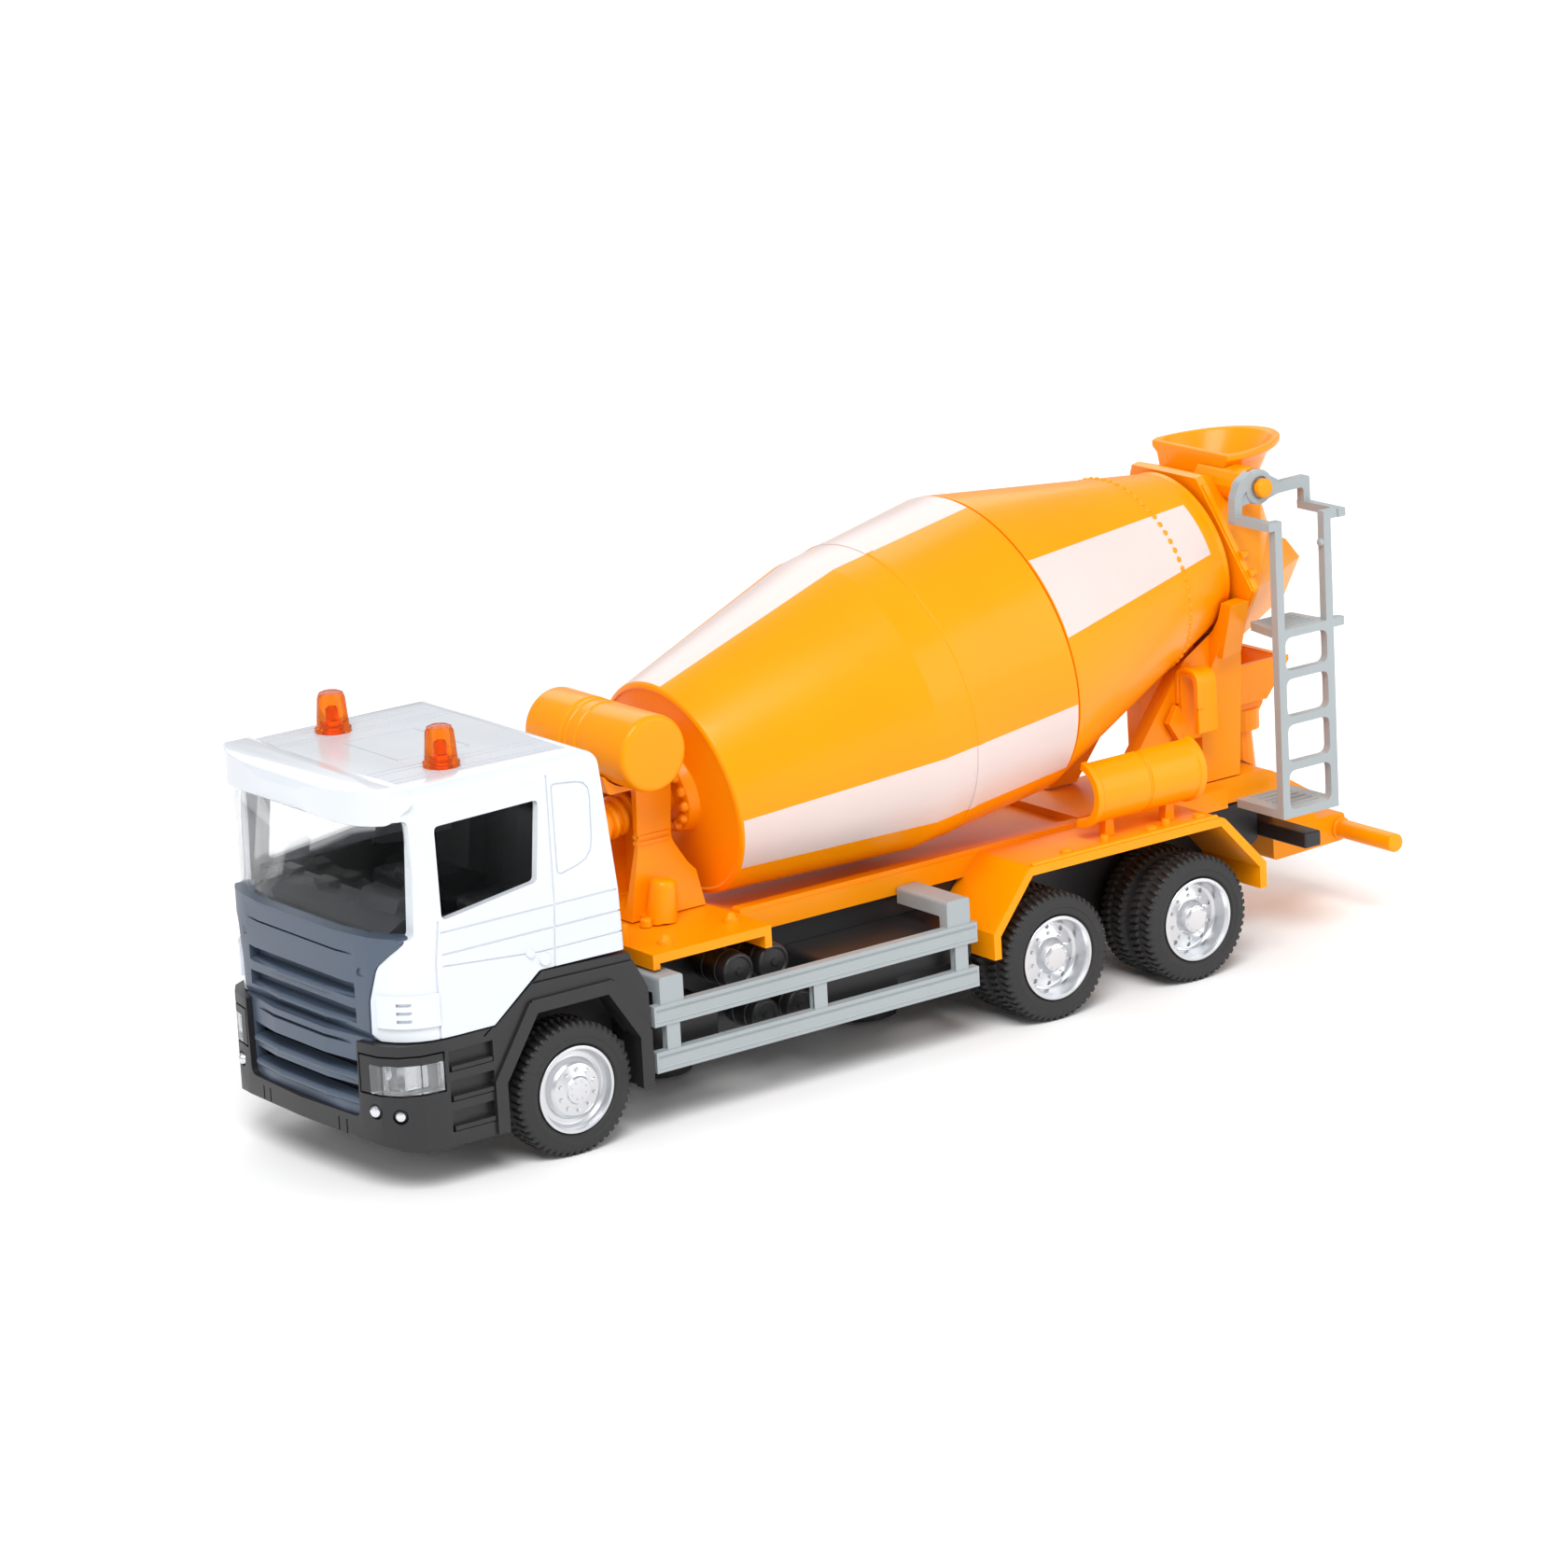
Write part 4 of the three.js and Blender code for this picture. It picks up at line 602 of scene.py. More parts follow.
def side_groove(points, width, closed=False):
    """A narrow channel along a line of points on the cab's side, as a tool that goes right through."""
    pairs = list(zip(points, points[1:]))
    if closed:
        pairs.append((points[-1], points[0]))
    return join(*[prism(strip(a, b, width, width / 2), "y", *ACROSS) for a, b in pairs])


def sill_cut():
    """Lower edge of the white shell, stepped up over the wheel arch."""
    outline = [(-30, 0), (11.3, 0), (11.3, SILL_Z - 0.2, 0.6), (4.2, 24.2, 0.8), (-30, 23.8)]
    return prism(outline, "y", *ACROSS)


def cab_grooves():
    """Door, quarter panel and belt lines on the cab's sides."""
    door = side_groove([(18.0, 33.0), (18.6, 28), (18.6, 18)], 0.28)
    door_back = side_groove([(0.6, 47), (1.4, 34), (2.0, 24)], 0.24)
    quarter = rounded([(-5.4, 45.3, 2), (0, 45.9, 0.6), (0.6, 35.0, 0.6), (-4.6, 36.2, 3)], steps=3)
    panel = side_groove(quarter, 0.22, closed=True)
    belt = side_groove([(17.6, 31.7), (-7.4, 31.7)], 0.25)
    crease = side_groove([(17.6, 29.0), (-8, 29.0)], 0.25)
    low_crease = side_groove([(17.6, 27.6), (4, 26.4), (-8, 26.4)], 0.18)
    return join(door, door_back, panel, belt, crease, low_crease)


def cab_shell():
    shell = cut(cab_form(0, SILL_Z), cab_form(WALL, SILL_Z - 3))
    windows = prism(WINDOW, "y", *ACROSS)
    screen_top = VISOR_LOW_Z - 0.1
    screen = [(20.9, CHEEK_TOP_Z, 1.0), (34, CHEEK_TOP_Z), (34, screen_top), (20.4, screen_top, 1.0)]
    screen_hole = prism(screen, "y", *ACROSS)
    grille_hole = grille_block(0.12, 20.5)
    sill = sill_cut()
    lines = cut(cab_grooves(), cab_form(0.15, 0))
    roof = cut(roof_lines(), cab_form(0.2, 0))
    return cut(shell, windows, screen_hole, grille_hole, sill, lines, roof)


def roof_lines():
    """Fine grooves along the roof, a hatch outline between them and vent slots covered by the visor."""
    low, high = ROOF_Z - 2, ROOF_Z + 2
    tools = []
    for side in (1, -1):
        for y in (9.2, 10.4, 13.4, 14.6):
            tools.append(side_block(side, (-4.5, y - 0.12, low), (21.0, y + 0.12, high)))
        for k in range(4):
            x = 21.6 + 0.7 * k
            tools.append(side_block(side, (x, 14.2, low), (x + 0.3, 16.0, high)))
    for y in (-6, 6):
        tools.append(block((3.2, y - 0.1, low), (13.4, y + 0.1, high)))
    for x in (3.2, 13.4):
        tools.append(block((x - 0.1, -6.1, low), (x + 0.1, 6.1, high)))
    return join(*tools)


def visor():
    """Thick rounded lip over the windscreen, wrapped round both front corners."""
    side = [(19.6, 49.3), (19.6, 47.6), (22.6, 45.3, 1.5), (26.9, 45.1, 1.9), (26.9, 49.2, 2.4),
            (22, 49.6, 2)]
    plan = mirrored([(8, -19.0), (24.7, -19.0, 9), (26.9, -3, 14)], at=1)
    front = mirrored([(19.1, 44), (18.1, 49.45, 2.6)], (0, 49.75, 20))
    return common(
        prism(side, "y", *ACROSS, steps=8),
        prism(plan, "z", 40, 60, steps=8),
        prism(front, "x", 10, 40, steps=8),
    )


def cheek_details(side):
    """Raised slotted panel on the corner beside the grille, and the two round caps on the door."""
    panel = common(cab_form(-0.3, 14), side_block(side, (18.6, 15.0, 20.6), (30, 24, 24.6)))
    slots = [side_block(side, (21.8, 15, 21.3 + k), (23.2, 24, 21.7 + k)) for k in range(3)]
    caps = []
    for x, z, out, foot, top in ((3.4, 25.4, 19.95, 1.0, 0.75), (5.4, 26.5, 19.9, 0.7, 0.5)):
        caps.append(rod((x, side * 19.3, z), (x, side * out, z), foot, top, 20))
    return together(cut(panel, cab_form(0.4, 10), *slots), *caps)


def glazing():
    """Clear moulding: wrap-round windscreen and a pane behind each side window."""
    front = cut(cab_form(0.35, 25), cab_form(1.0, 20),
                cab_room(front=20.6), cab_room(high=31.4), cab_room(low=46.4))
    panes = cut(cab_form(WALL + 0.1, 25), cab_form(WALL + 0.7, 20),
                cab_room(front=1.2), cab_room(back=18.6), cab_room(high=32.4), cab_room(low=45.6))
    return together(front, panes)


def seat(y):
    cushion = [(-4.8, 27.4, 0.6), (5.4, 27.4, 1.2), (5.8, 30.6, 1.2), (-3.6, 30.2, 0.6)]
    back = [(-5.4, 28, 0.4), (-2.4, 28, 0.4), (-3.8, 40.4, 1.2), (-5.9, 40.4, 0.8)]
    head = [(-6.0, 41, 0.4), (-4.2, 41, 0.6), (-4.4, 44.2, 0.8), (-6.0, 44.2, 0.6)]
    shapes = ((cushion, 4.6), (back, 4.2), (head, 2.4))
    return [prism(outline, "y", y - half, y + half) for outline, half in shapes]


def steering_wheel():
    """Tilted ring on a column, with three spokes."""
    tilt = Vector((-1, 0, 0.65)).normalized()
    hub = Vector((14.0, 8.6, 34.6))
    angles = [math.pi * k / 4 for k in range(8)]
    ring = [(2.75 + 0.28 * math.cos(a), 0.28 * math.sin(a)) for a in angles]
    made = [lathe(ring, hub, tilt, 36, wrap=True), rod(hub - tilt * 3.2, hub + tilt * 0.3, 0.55, 0.9, 16)]
    for angle in (90, 210, 330):
        out = Y * math.cos(math.radians(angle)) + tilt.cross(Y) * math.sin(math.radians(angle))
        made.append(rod(hub, hub + out * 2.7, 0.24, 0.24, 10))
    return made


def interior():
    """Dashboard, seats, steering wheel, rear wall and dark linings below the windows and the roof."""
    floor = block((-7, -17.2, 25.2), (19.0, 17.2, 26.4))
    rear = block((-6.3, -16.4, 26), (-5.5, 16.4, 46.8))
    roof = block((-5.9, -15.4, 46.6), (19.6, 15.4, 47.2))
    dash = [(15.2, 26), (22.4, 26), (22.4, 31.2, 0.6), (19.6, 32.8, 1), (16.2, 33.2, 1.2)]
    binnacle = [(15.4, 32.6), (19.6, 32.6), (18.8, 34.6, 0.8), (16.4, 34.8, 0.8)]
    vents = [block((17.0, y - 1.6, 32.6), (18.8, y + 1.6, 33.7)) for y in (-12.5, -4.5)]
    made = [floor, rear, roof, prism(dash, "y", -14.6, 14.6), prism(binnacle, "y", 4.6, 12.6), *vents]
    for y in (9.2, -9.2):
        made += seat(y)
    for side in (1, -1):
        made.append(side_block(side, (-6.0, 17.0, 26), (17.0, 17.5, 33.0)))
    return together(*made, *steering_wheel())


LOUVRE_HEIGHT = 1.3
LOUVRES_Z = (24.1, 21.0, 14.4, 11.4)
GRILLE_SPLIT_Z = 18.0
GRILLE_NOSE_X = NOSE_X - 0.45


def grille():
    """Slate panel: plain name band, sloping louvres, a split line and a small scoop in each top corner."""
    nose = GRILLE_NOSE_X
    side = [(23.8, 7), (nose - 0.9, 7), (nose - 0.1, 12, 4), (nose - 0.1, 24, 6), (nose - 0.9, 32),
            (23.8, 32)]
    plan = mirrored([(21, -19), (nose - 3.2, -19), (nose - 1.3, -13, 5), (nose, -5, 8)], at=1)
    lower = common(grille_block(0, 20.6), prism(side, "y", *ACROSS), prism(plan, "z", 0, 19))
    upper = common(grille_block(0, 20.6), cab_form(-0.2, 18.6))
    panel = join(lower, cut(upper, cab_form(1.6, 10), block((20, -12.8, 18), (23.2, 12.8, 40))))
    tools = []
    for z in LOUVRES_Z:
        top = z + LOUVRE_HEIGHT
        throat = [(nose - 2.4, top), (nose + 2, top + 0.4), (nose + 2, z - 1.0), (nose - 0.7, z - 0.5),
                  (nose - 2.4, z)]
        tools.append(prism(throat, "y", -11.6, 11.6))
    tools.append(block((nose - 0.9, -18, GRILLE_SPLIT_Z - 0.2), (nose + 2, 18, GRILLE_SPLIT_Z + 0.2)))
    tools.append(block((nose - 1.0, -18, 29.0), (nose - 0.4, 18, 29.25)))
    for sign in (1, -1):
        scoop = [(sign * 12.0, 26.6, 0.5), (sign * 18, 26.6), (sign * 18, 27.6), (sign * 12.4, 27.6, 0.6)]
        tools.append(prism(scoop, "x", nose - 1.3, nose + 2))
    return cut(panel, *tools)


def grille_blades():
    """Rounded noses under the louvre slots, and the raised frame round the lower grille."""
    bead = [(0, 0), (0.35, 0.1), (0.5, 0.5), (0.35, 0.9), (0, 1.0)]
    made = []
    for z in LOUVRES_Z:
        face = GRILLE_NOSE_X - (0.45 if z < GRILLE_SPLIT_Z else 1.05)
        line = [(face - 0.7, -11.2), (face, -5), (face, 5), (face - 0.7, 11.2)]
        for start, end in zip(line, line[1:]):
            made.append(rod((*start, z - 0.6), (*end, z - 0.6), 0.5, 0.5, 12))
        for x, y in line:
            made.append(lathe(bead, (x - 0.5, y, z - 0.6), X, 16))
    frame_x = GRILLE_NOSE_X - 1.35
    for y in (-12.6, 12.6):
        made.append(rod((frame_x, y, 9.8), (frame_x, y, 17.0), 0.4, 0.4, 12))
    return together(*made)


def from_cad(node):
    """A CAD node's mesh as it was packed, welded, in the truck's millimetres."""
    bm = bmesh.new()
    bm.from_mesh(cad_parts[node].data)
    moved(bm, TO_ROW.inverted())
    bmesh.ops.remove_doubles(bm, verts=bm.verts, dist=0.002)
    bmesh.ops.dissolve_limit(bm, angle_limit=0.01, verts=bm.verts, edges=bm.edges)
    return bm


FOG_LAMPS = ((25.4, 14.8, 10.4), (23.6, 17.4, 10.0))


def fog_lamp_places(side):
    """Foot and outward direction of each fog lamp on a side."""
    places = []
    for x, y, z in FOG_LAMPS:
        places.append((Vector((x, side * y, z)), Vector((x - 14, side * y * 0.7, 0)).normalized()))
    return places


def cab_base():
    """Bumper, steps and wheel arches: grooves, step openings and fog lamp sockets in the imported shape."""
    inside = block((-30, 0.4 - HALF_WIDTH, 0), (40, HALF_WIDTH - 0.4, 40))
    crease = cut(side_groove([(12.6, 18.0), (5.6, 22.9), (-9.2, 22.6)], 0.25), inside)
    tools = []
    for side in (1, -1):
        for y in (7.6, 9.2):
            tools.append(side_block(side, (22, y - 0.12, 5), (27.2, y + 0.12, 8.4)))
        for z in (7.2, 10.9, 14.6):
            tools.append(side_block(side, (11.6, HALF_WIDTH - 0.9, z), (17.9, HALF_WIDTH + 1, z + 2.6)))
        for foot, out in fog_lamp_places(side):
            tools.append(rod(foot - out * 0.6, foot + out * 4, 0.95, 0.95, 20))
    return cut(from_cad("cab_base"), crease, *tools)


def arch_trim(side):
    """Raised segmented band round the front wheel opening."""
    line = [(10.9, 5.8), (10.9, 11.8), (5.6, 20.0), (-5.6, 20.0), (-10.3, 13.0), (-10.3, 6.6)]
    depth = side_span(side, HALF_WIDTH - 1.2, HALF_WIDTH + 0.3)
    return join(*[prism(strip(a, b, 1.7, 0.3), "y", *depth) for a, b in zip(line, line[1:])])


def step_treads(side):
    made = []
    for z in (7.3, 11.0, 14.7):
        made.append(side_block(side, (11.8, HALF_WIDTH - 1.0, z), (17.6, HALF_WIDTH + 0.05, z + 0.6)))
    return together(*made)


def fog_lamps(side):
    lens = [(0, 0), (0.72, 0), (0.72, 0.55), (0.55, 0.8), (0, 0.95)]
    return together(*[lathe(lens, foot - out * 0.5, out, 20) for foot, out in fog_lamp_places(side)])


def lamp_window(side):
    """The part of the headlamp moulding that is left clear."""
    return side_block(side, (18.6, 14.1, 8), (30, 24, 16.2))


def headlamp(side_name, side):
    lens = common(from_cad(f"headlamp_lens_{side_name}"), lamp_window(side))
    front_rib = side_block(side, (24.2, 15.9, 12), (28, 16.1, 18))
    corner_rib = side_block(side, (21.4, 18.9, 12), (21.6, 21, 18))
    return cut(lens, front_rib, corner_rib)


def lamp_surround(side_name, side):
    return cut(from_cad(f"headlamp_lens_{side_name}"), lamp_window(side))


def lamp_bowls(side):
    """Bright reflectors behind the headlamp lens."""
    bowl = [(0, 0), (1.5, 0.1), (1.7, 0.6), (1.7, 1.0), (0, 1.0)]
    box = side_block(side, (19.6, 13.2, 12.9), (22.6, 17.2, 16.9))
    return together(lathe(bowl, (22.9, side * 14.0, 14.9), X, 24), box)


def beacon(y):
    """Ribbed warning lamp with a foot ring and a domed top."""
    centre = Vector((11, y, ROOF_Z + 0.1))
    points = 4 * 20
    levels = [(2.25, 0.0), (2.25, 0.5), (2.02, 0.7), (1.98, 1.0), (1.72, 4.2), (1.5, 4.75), (0.9, 5.0),
              (0.02, 5.05)]
    rings = []
    for radius, height in levels:
        ring = []
        for k in range(points):
            angle = 2 * math.pi * k / points
            flute = 0.05 if k % 4 in (2, 3) and 0.9 < height < 4.5 else 0
            out = Vector((math.cos(angle), math.sin(angle), 0)) * (radius - flute)
            ring.append(centre + out + Z * height)
        rings.append(ring)
    return skin(rings)


def beacon_core(y):
    profile = [(0, 0), (1.1, 0), (1.1, 0.8), (0.6, 1.2), (0.6, 2.6), (0.4, 3.0), (0, 3.1)]
    return lathe(profile, (11, y, ROOF_Z + 0.2), Z, 20)


def add_cab():
    stand_in("cab_shell", cab_shell(), WHITE, bevel=0.12)
    piece("cab_visor", visor(), WHITE, bevel=0.5, segments=4)
    piece("cab_glazing_look", glazing(), GLASS, "window_insert", bevel=0.06)
    stand_in("cab_interior", interior(), INTERIOR, bevel=0.12)
    piece("grille_look", grille(), SLATE, "grille_panel", bevel=0.12)
    piece("grille_blades", grille_blades(), SLATE)
    stand_in("cab_base", cab_base(), BLACK, bevel=0.2)
    for side_name, side in SIDES:
        piece(f"cheek_details_{side_name}", cheek_details(side), WHITE, bevel=0.12)
        piece(f"arch_trim_{side_name}", arch_trim(side), BLACK, bevel=0.2)
        piece(f"step_treads_{side_name}", step_treads(side), BLACK, bevel=0.1)
        piece(f"fog_lamps_{side_name}", fog_lamps(side), REFLECTOR)
        piece(f"headlamp_{side_name}_look", headlamp(side_name, side), LENS,
              f"headlamp_lens_{side_name}", bevel=0.12)
        piece(f"lamp_surround_{side_name}", lamp_surround(side_name, side), BLACK, bevel=0.1)
        piece(f"lamp_bowls_{side_name}", lamp_bowls(side), REFLECTOR, bevel=0.05)
        y = side * 11.75
        stand_in(f"beacon_{side_name}", beacon(y), AMBER)
        piece(f"beacon_{side_name}_core", beacon_core(y), AMBER)


add_cab()

# ---------------- front of the superstructure

DECK_TOP_Z = 21.6
WATER_TANK_END = (-20.5, -10.6, 44.1)


def water_tank():
    """Tank lying across the truck, with rounded ends and a stepped band with two fine rings."""
    profile = [
        (0, 0), (4.85, 0, 0.9), (4.85, 7.6, 0.1), (4.65, 7.9, 0.1),
        (4.65, 8.6), (4.85, 8.8, 0.1), (4.65, 9.0), (4.65, 10.6), (4.85, 10.8, 0.1), (4.65, 11.0),
        (4.65, 11.9, 0.1), (4.8, 12.2, 0.1), (4.85, 21.2, 0.9), (0, 21.2),
    ]
    return lathe(profile, WATER_TANK_END, Y, 112, steps=4)


def pedestal_column(foot):
    """Waisted column with two seam rings at its neck and a channel up its front."""
    side = [(-19.6, foot), (-21.7, 30.6, 4), (-21.7, 40.6), (-27.1, 40.6), (-26.7, 31.0, 4), (-28.8, 27.6, 3),
            (-31.2, 25.0, 1.5), (-31.0, foot)]
    front = mirrored([(-4.9, foot), (-4.0, 31, 8), (-4.4, 40.6)])
    column = common(prism(side, "y", -8, 8), prism(front, "x", -40, -10))
    rings = [prism(rectangle(-21.5, -4.25, -26.9, 4.25, 0.8), "z", z, z + 0.4) for z in (31.0, 31.8)]
    channel = prism(rectangle(-3.3, foot + 1, 3.3, 38, 0.6), "x", -24.9, -10)
    return cut(join(column, *rings), channel)


def front_pedestal():
    """Column, the saddle on top of it, and a domed post and a small cap on each side of its foot."""
    foot = DECK_TOP_Z + 0.2
    saddle = prism([(-24.7, 38.6, 0.6), (-17.1, 38.6, 0.6), (-16.3, 41.0), (-24.7, 41.0)], "y", -5.2, 5.2)
    base = prism(rectangle(-24.4, -8.2, -20.8, 8.2, 1), "z", foot, foot + 0.8)
    posts = []
    for side in (1, -1):
        post = [(0, 0), (2.0, 0), (1.8, 3.4), (1.6, 5.2, 1.6), (0, 5.3)]
        posts.append(lathe(post, (-22.8, side * 6.6, foot), (-0.12, 0, 1), 32))
        cap = [(0, 0), (0.8, 0), (0.7, 1.0, 0.5), (0, 1.1)]
        posts.append(lathe(cap, (-20.2, side * 7.0, foot - 0.1), Z, 20))
    tank_start = Vector(WATER_TANK_END)
    tank_room = rod(tank_start - Y * 2, tank_start + Y * 24, 5.0, 5.0, 96)
    drum_room = rod(DRUM_FRONT - DRUM_AXIS * 1.7, DRUM_FRONT + DRUM_AXIS * 20, 30, 30, 24)
    return cut(join(pedestal_column(foot), saddle, base, *posts), tank_room, drum_room)


def drive_motor():
    """Ribbed motor housing in the pedestal's front channel, in line with the drum."""
    profile = [(0, -12.8), (1.6, -12.8, 0.2), (2.1, -12.2, 0.3)]
    for k in range(4):
        at = -11.9 + 1.4 * k
        profile += [(2.1, at), (2.6, at + 0.25, 0.25), (2.6, at + 0.8, 0.25), (2.1, at + 1.05)]
    profile += [(2.1, -6.0), (0, -6.0)]
    return lathe(profile, DRUM_FRONT, DRUM_AXIS, 64, steps=3)


def deck_details():
    """Raised rim, upstand and small pads on the yellow deck, and stiffening beads along the mudguards."""
    low = DECK_TOP_Z - 0.2
    made = [prism([(-14.6, low), (-13.6, low), (-13.6, 24.2, 0.4), (-14.4, 24.2, 0.4)], "y", -11.4, 11.4)]
    rim = [(-33.0, 20.6), (-88, 20.6), (-88, 21.5, 0.4), (-33.0, 21.5, 0.4)]
    pad = [(0, 0), (0.9, 0), (0.75, 0.6, 0.3), (0, 0.65)]
    for side in (1, -1):
        made.append(prism(rim, "y", *side_span(side, 7.2, 9.0)))
        made.append(rod((-71, side * 19.2, 21.05), (-101.6, side * 19.2, 21.05), 0.35, 0.35, 16))
        made += [lathe(pad, (x, side * 17.6, 20.9), Z, 20) for x in (-78, -92, -100)]
    return together(*made)


def add_front():
    stand_in("water_tank", water_tank(), YELLOW)
    stand_in("front_pedestal", front_pedestal(), YELLOW, bevel=0.35, segments=3)
    stand_in("drive_motor", drive_motor(), YELLOW)
    piece("deck_details", deck_details(), YELLOW, bevel=0.12)
    dress("subframe_deck", YELLOW, 0.3, 3)


add_front()

# ---------------- back of the superstructure


def across_drum(corners, low, high):
    """An outline of (sideways, upwards) from the drum's axis, pushed along the axis."""
    rings = []
    for s in (low, high):
        centre = DRUM_FRONT + DRUM_AXIS * s
        rings.append([centre + Y * c[0] + DRUM_UP * c[1] for c in corners])
    return skin(rings)


HOOD_EDGE = mirrored([(8, -11.6, 1), (13.7, -3.7, 1), (6.6, 10.9, 2)])
LADDER_PIN = Vector((-116.5, 0, 60.8))


def rear_support():
    """Legs, struts and cradle, with the cradle's ends trimmed level under the hood."""
    ends = [side_block(side, (-125, 8.5, 46.4), (-98, 22, 60)) for side in (1, -1)]
    return cut(from_cad("rear_support"), *ends)


def hopper_ring(shrink, half, depth, z):
    """D-shaped outline of the hopper at a height: straight in front, round and a little higher behind."""
    h = half - shrink
    front = -115.3 - shrink
    reach = depth - 1.5 - 2 * shrink
    corners = [Vector((front, -h + 0.7)), Vector((front, h - 0.7))]
    for k in range(33):
        angle = math.radians(90 - 180 * k / 32)
        corners.append(Vector((front - 1.5 - reach * math.cos(angle), h * math.sin(angle))))
    return [Vector((p.x, p.y, z + 0.035 * (front - p.x))) for p in corners]


def hopper():
    """Funnel with a thick rolled rim."""
    outside = skin([hopper_ring(*level) for level in (
        (0, 6.6, 9.4, 59.4), (0, 7.5, 11.6, 62.9), (-0.1, 8.2, 13.5, 63.7), (-0.1, 8.2, 13.5, 64.5))])
    inside = skin([hopper_ring(*level) for level in (
        (0.9, 6.4, 9.4, 60.3), (0.9, 7.7, 12.0, 63.4), (0.7, 8.2, 13.5, 64.9))])
    return cut(outside, inside)


def hood_outline(scale):
    return rounded([(y * scale, u * scale, radius) for y, u, radius in HOOD_EDGE])


def hood():
    """Cover behind the drum's neck with a rolled front edge and small hinge bumps on it."""
    outside = across_drum(hood_outline(1.015), 84.6, 85.3)
    inside = across_drum(hood_outline(0.93), 80, 90)
    rim = cut(outside, inside, block((-140, -20, 61.2), (-100, 20, 80)))
    bumps = []
    for side in (1, -1):
        for y, u in ((13.0, -1.6), (12.0, 0.8)):
            foot = DRUM_FRONT + DRUM_AXIS * 84.8 + Y * side * y + DRUM_UP * u
            bumps.append(rod(foot, foot + DRUM_AXIS * 1.2, 0.55, 0.4, 16))
    return together(from_cad("discharge_hood"), rim, *bumps)


def ladder_pin():
    profile = [(0, 0), (0.8, 0), (0.8, 4.1), (1.25, 4.2, 0.2), (1.3, 5.2, 1.0), (0, 5.3)]
    return lathe(profile, LADDER_PIN + Y * 8.4, Y, 36)


def hook_bracket():
    """Strap bent into an upside-down U, with a raised edge and a diamond-shaped tip on its inner leg."""
    strap = [(7.8, 30.4), (7.8, 38.2, 1.8), (12, 38.2, 1.8), (12, 30.0), (11.1, 30.0), (11.1, 37.3, 1.2),
             (8.7, 37.3, 1.2), (8.7, 28.4)]
    edge = [(7.6, 33.4), (7.6, 38.4, 1.9), (12.2, 38.4, 1.9), (12.2, 33.4), (11.7, 33.4), (11.7, 37.9, 1.6),
            (8.1, 37.9, 1.6), (8.1, 33.4)]
    tip = [(-104.4, 33.6, 0.3), (-102.8, 31.2, 0.3), (-104.6, 28.4, 0.3), (-106.2, 30.8, 0.3)]
    return join(prism(strap, "x", -108.4, -105.2), prism(edge, "x", -106, -105), prism(tip, "y", 7.8, 8.9))


def spare_chute():
    """Half tube with a flange at each end and a seam round the middle, on two feet."""
    centre = Vector((0, 14.45, 27.1))
    inner = 3.4
    steps = 28
    levels = ((-100.6, 4.45), (-99.7, 4.45), (-99.5, 4.2), (-91.9, 4.2), (-91.8, 4.05),
              (-91.5, 4.05), (-91.4, 4.2), (-83.7, 4.2), (-83.5, 4.45), (-82.6, 4.45))
    angles = [math.radians(-95 + 172 * k / steps) for k in range(steps + 1)]
    outwards = [Y * math.cos(a) + Z * math.sin(a) for a in angles]
    rings = []
    for x, outer in levels:
        middle = centre + X * x
        ring = [middle + out * outer for out in outwards]
        rings.append(ring + [middle + out * inner for out in reversed(outwards)])
    feet = []
    for x in (-96.5, -86.5):
        foot = [(x - 0.8, 21.0), (x + 0.8, 21.0), (x + 0.6, 23.6), (x - 0.6, 23.6)]
        feet.append(prism(foot, "y", 14.6, 16.0))
    pegs = [rod((x, 17.4, 20.8), (x, 17.4, 21.9), 0.7, 0.5, 20) for x in (-94.6, -84.4)]
    return together(skin(rings), *feet, *pegs)


def add_back():
    stand_in("rear_support", rear_support(), YELLOW, bevel=0.5, segments=3)
    dress("chute_post", YELLOW, 0.2)
    dress("discharge_chute", YELLOW, 0.25, 3)
    piece("hopper_look", hopper(), YELLOW, "charging_hopper", bevel=0.25, segments=3)
    piece("hood_look", hood(), YELLOW, "discharge_hood", bevel=0.25, segments=3)
    stand_in("ladder_pin", ladder_pin(), YELLOW)
    stand_in("hook_bracket", hook_bracket(), YELLOW, bevel=0.2)
    piece("spare_chute_look", spare_chute(), YELLOW, "chute_extension", bevel=0.12)


add_back()

# ---------------- ladder

RAILS = ((-114.3, -113.1), (-122.6, -121.4))
LADDER_FRONT, LADDER_BACK = RAILS[0][1], RAILS[1][0]
LADDER_Y = (17.8, 19.0)
HUB_Y = (11.1, 12.4)
STEP_LOW_Z = 18.2
STEP_HIGH_Z = 42.2
ARM_Z = (56.6, 57.7)
STEP_THICK = 1.1


def ladder_frame():
    """Lower half of the ladder: one plate with a rounded opening between each pair of rungs."""
    plate = prism(rectangle(LADDER_BACK, STEP_LOW_Z, LADDER_FRONT, STEP_HIGH_Z + STEP_THICK), "y", *LADDER_Y)
    holes = []
    for z0, z1 in ((19.3, 24.5), (25.6, 30.6), (31.7, 36.7), (37.8, 42.2)):
        holes.append(prism(rectangle(LADDER_BACK + 1.2, z0, LADDER_FRONT - 1.2, z1, 1.1), "y", 10, 30))
    return cut(plate, *holes)


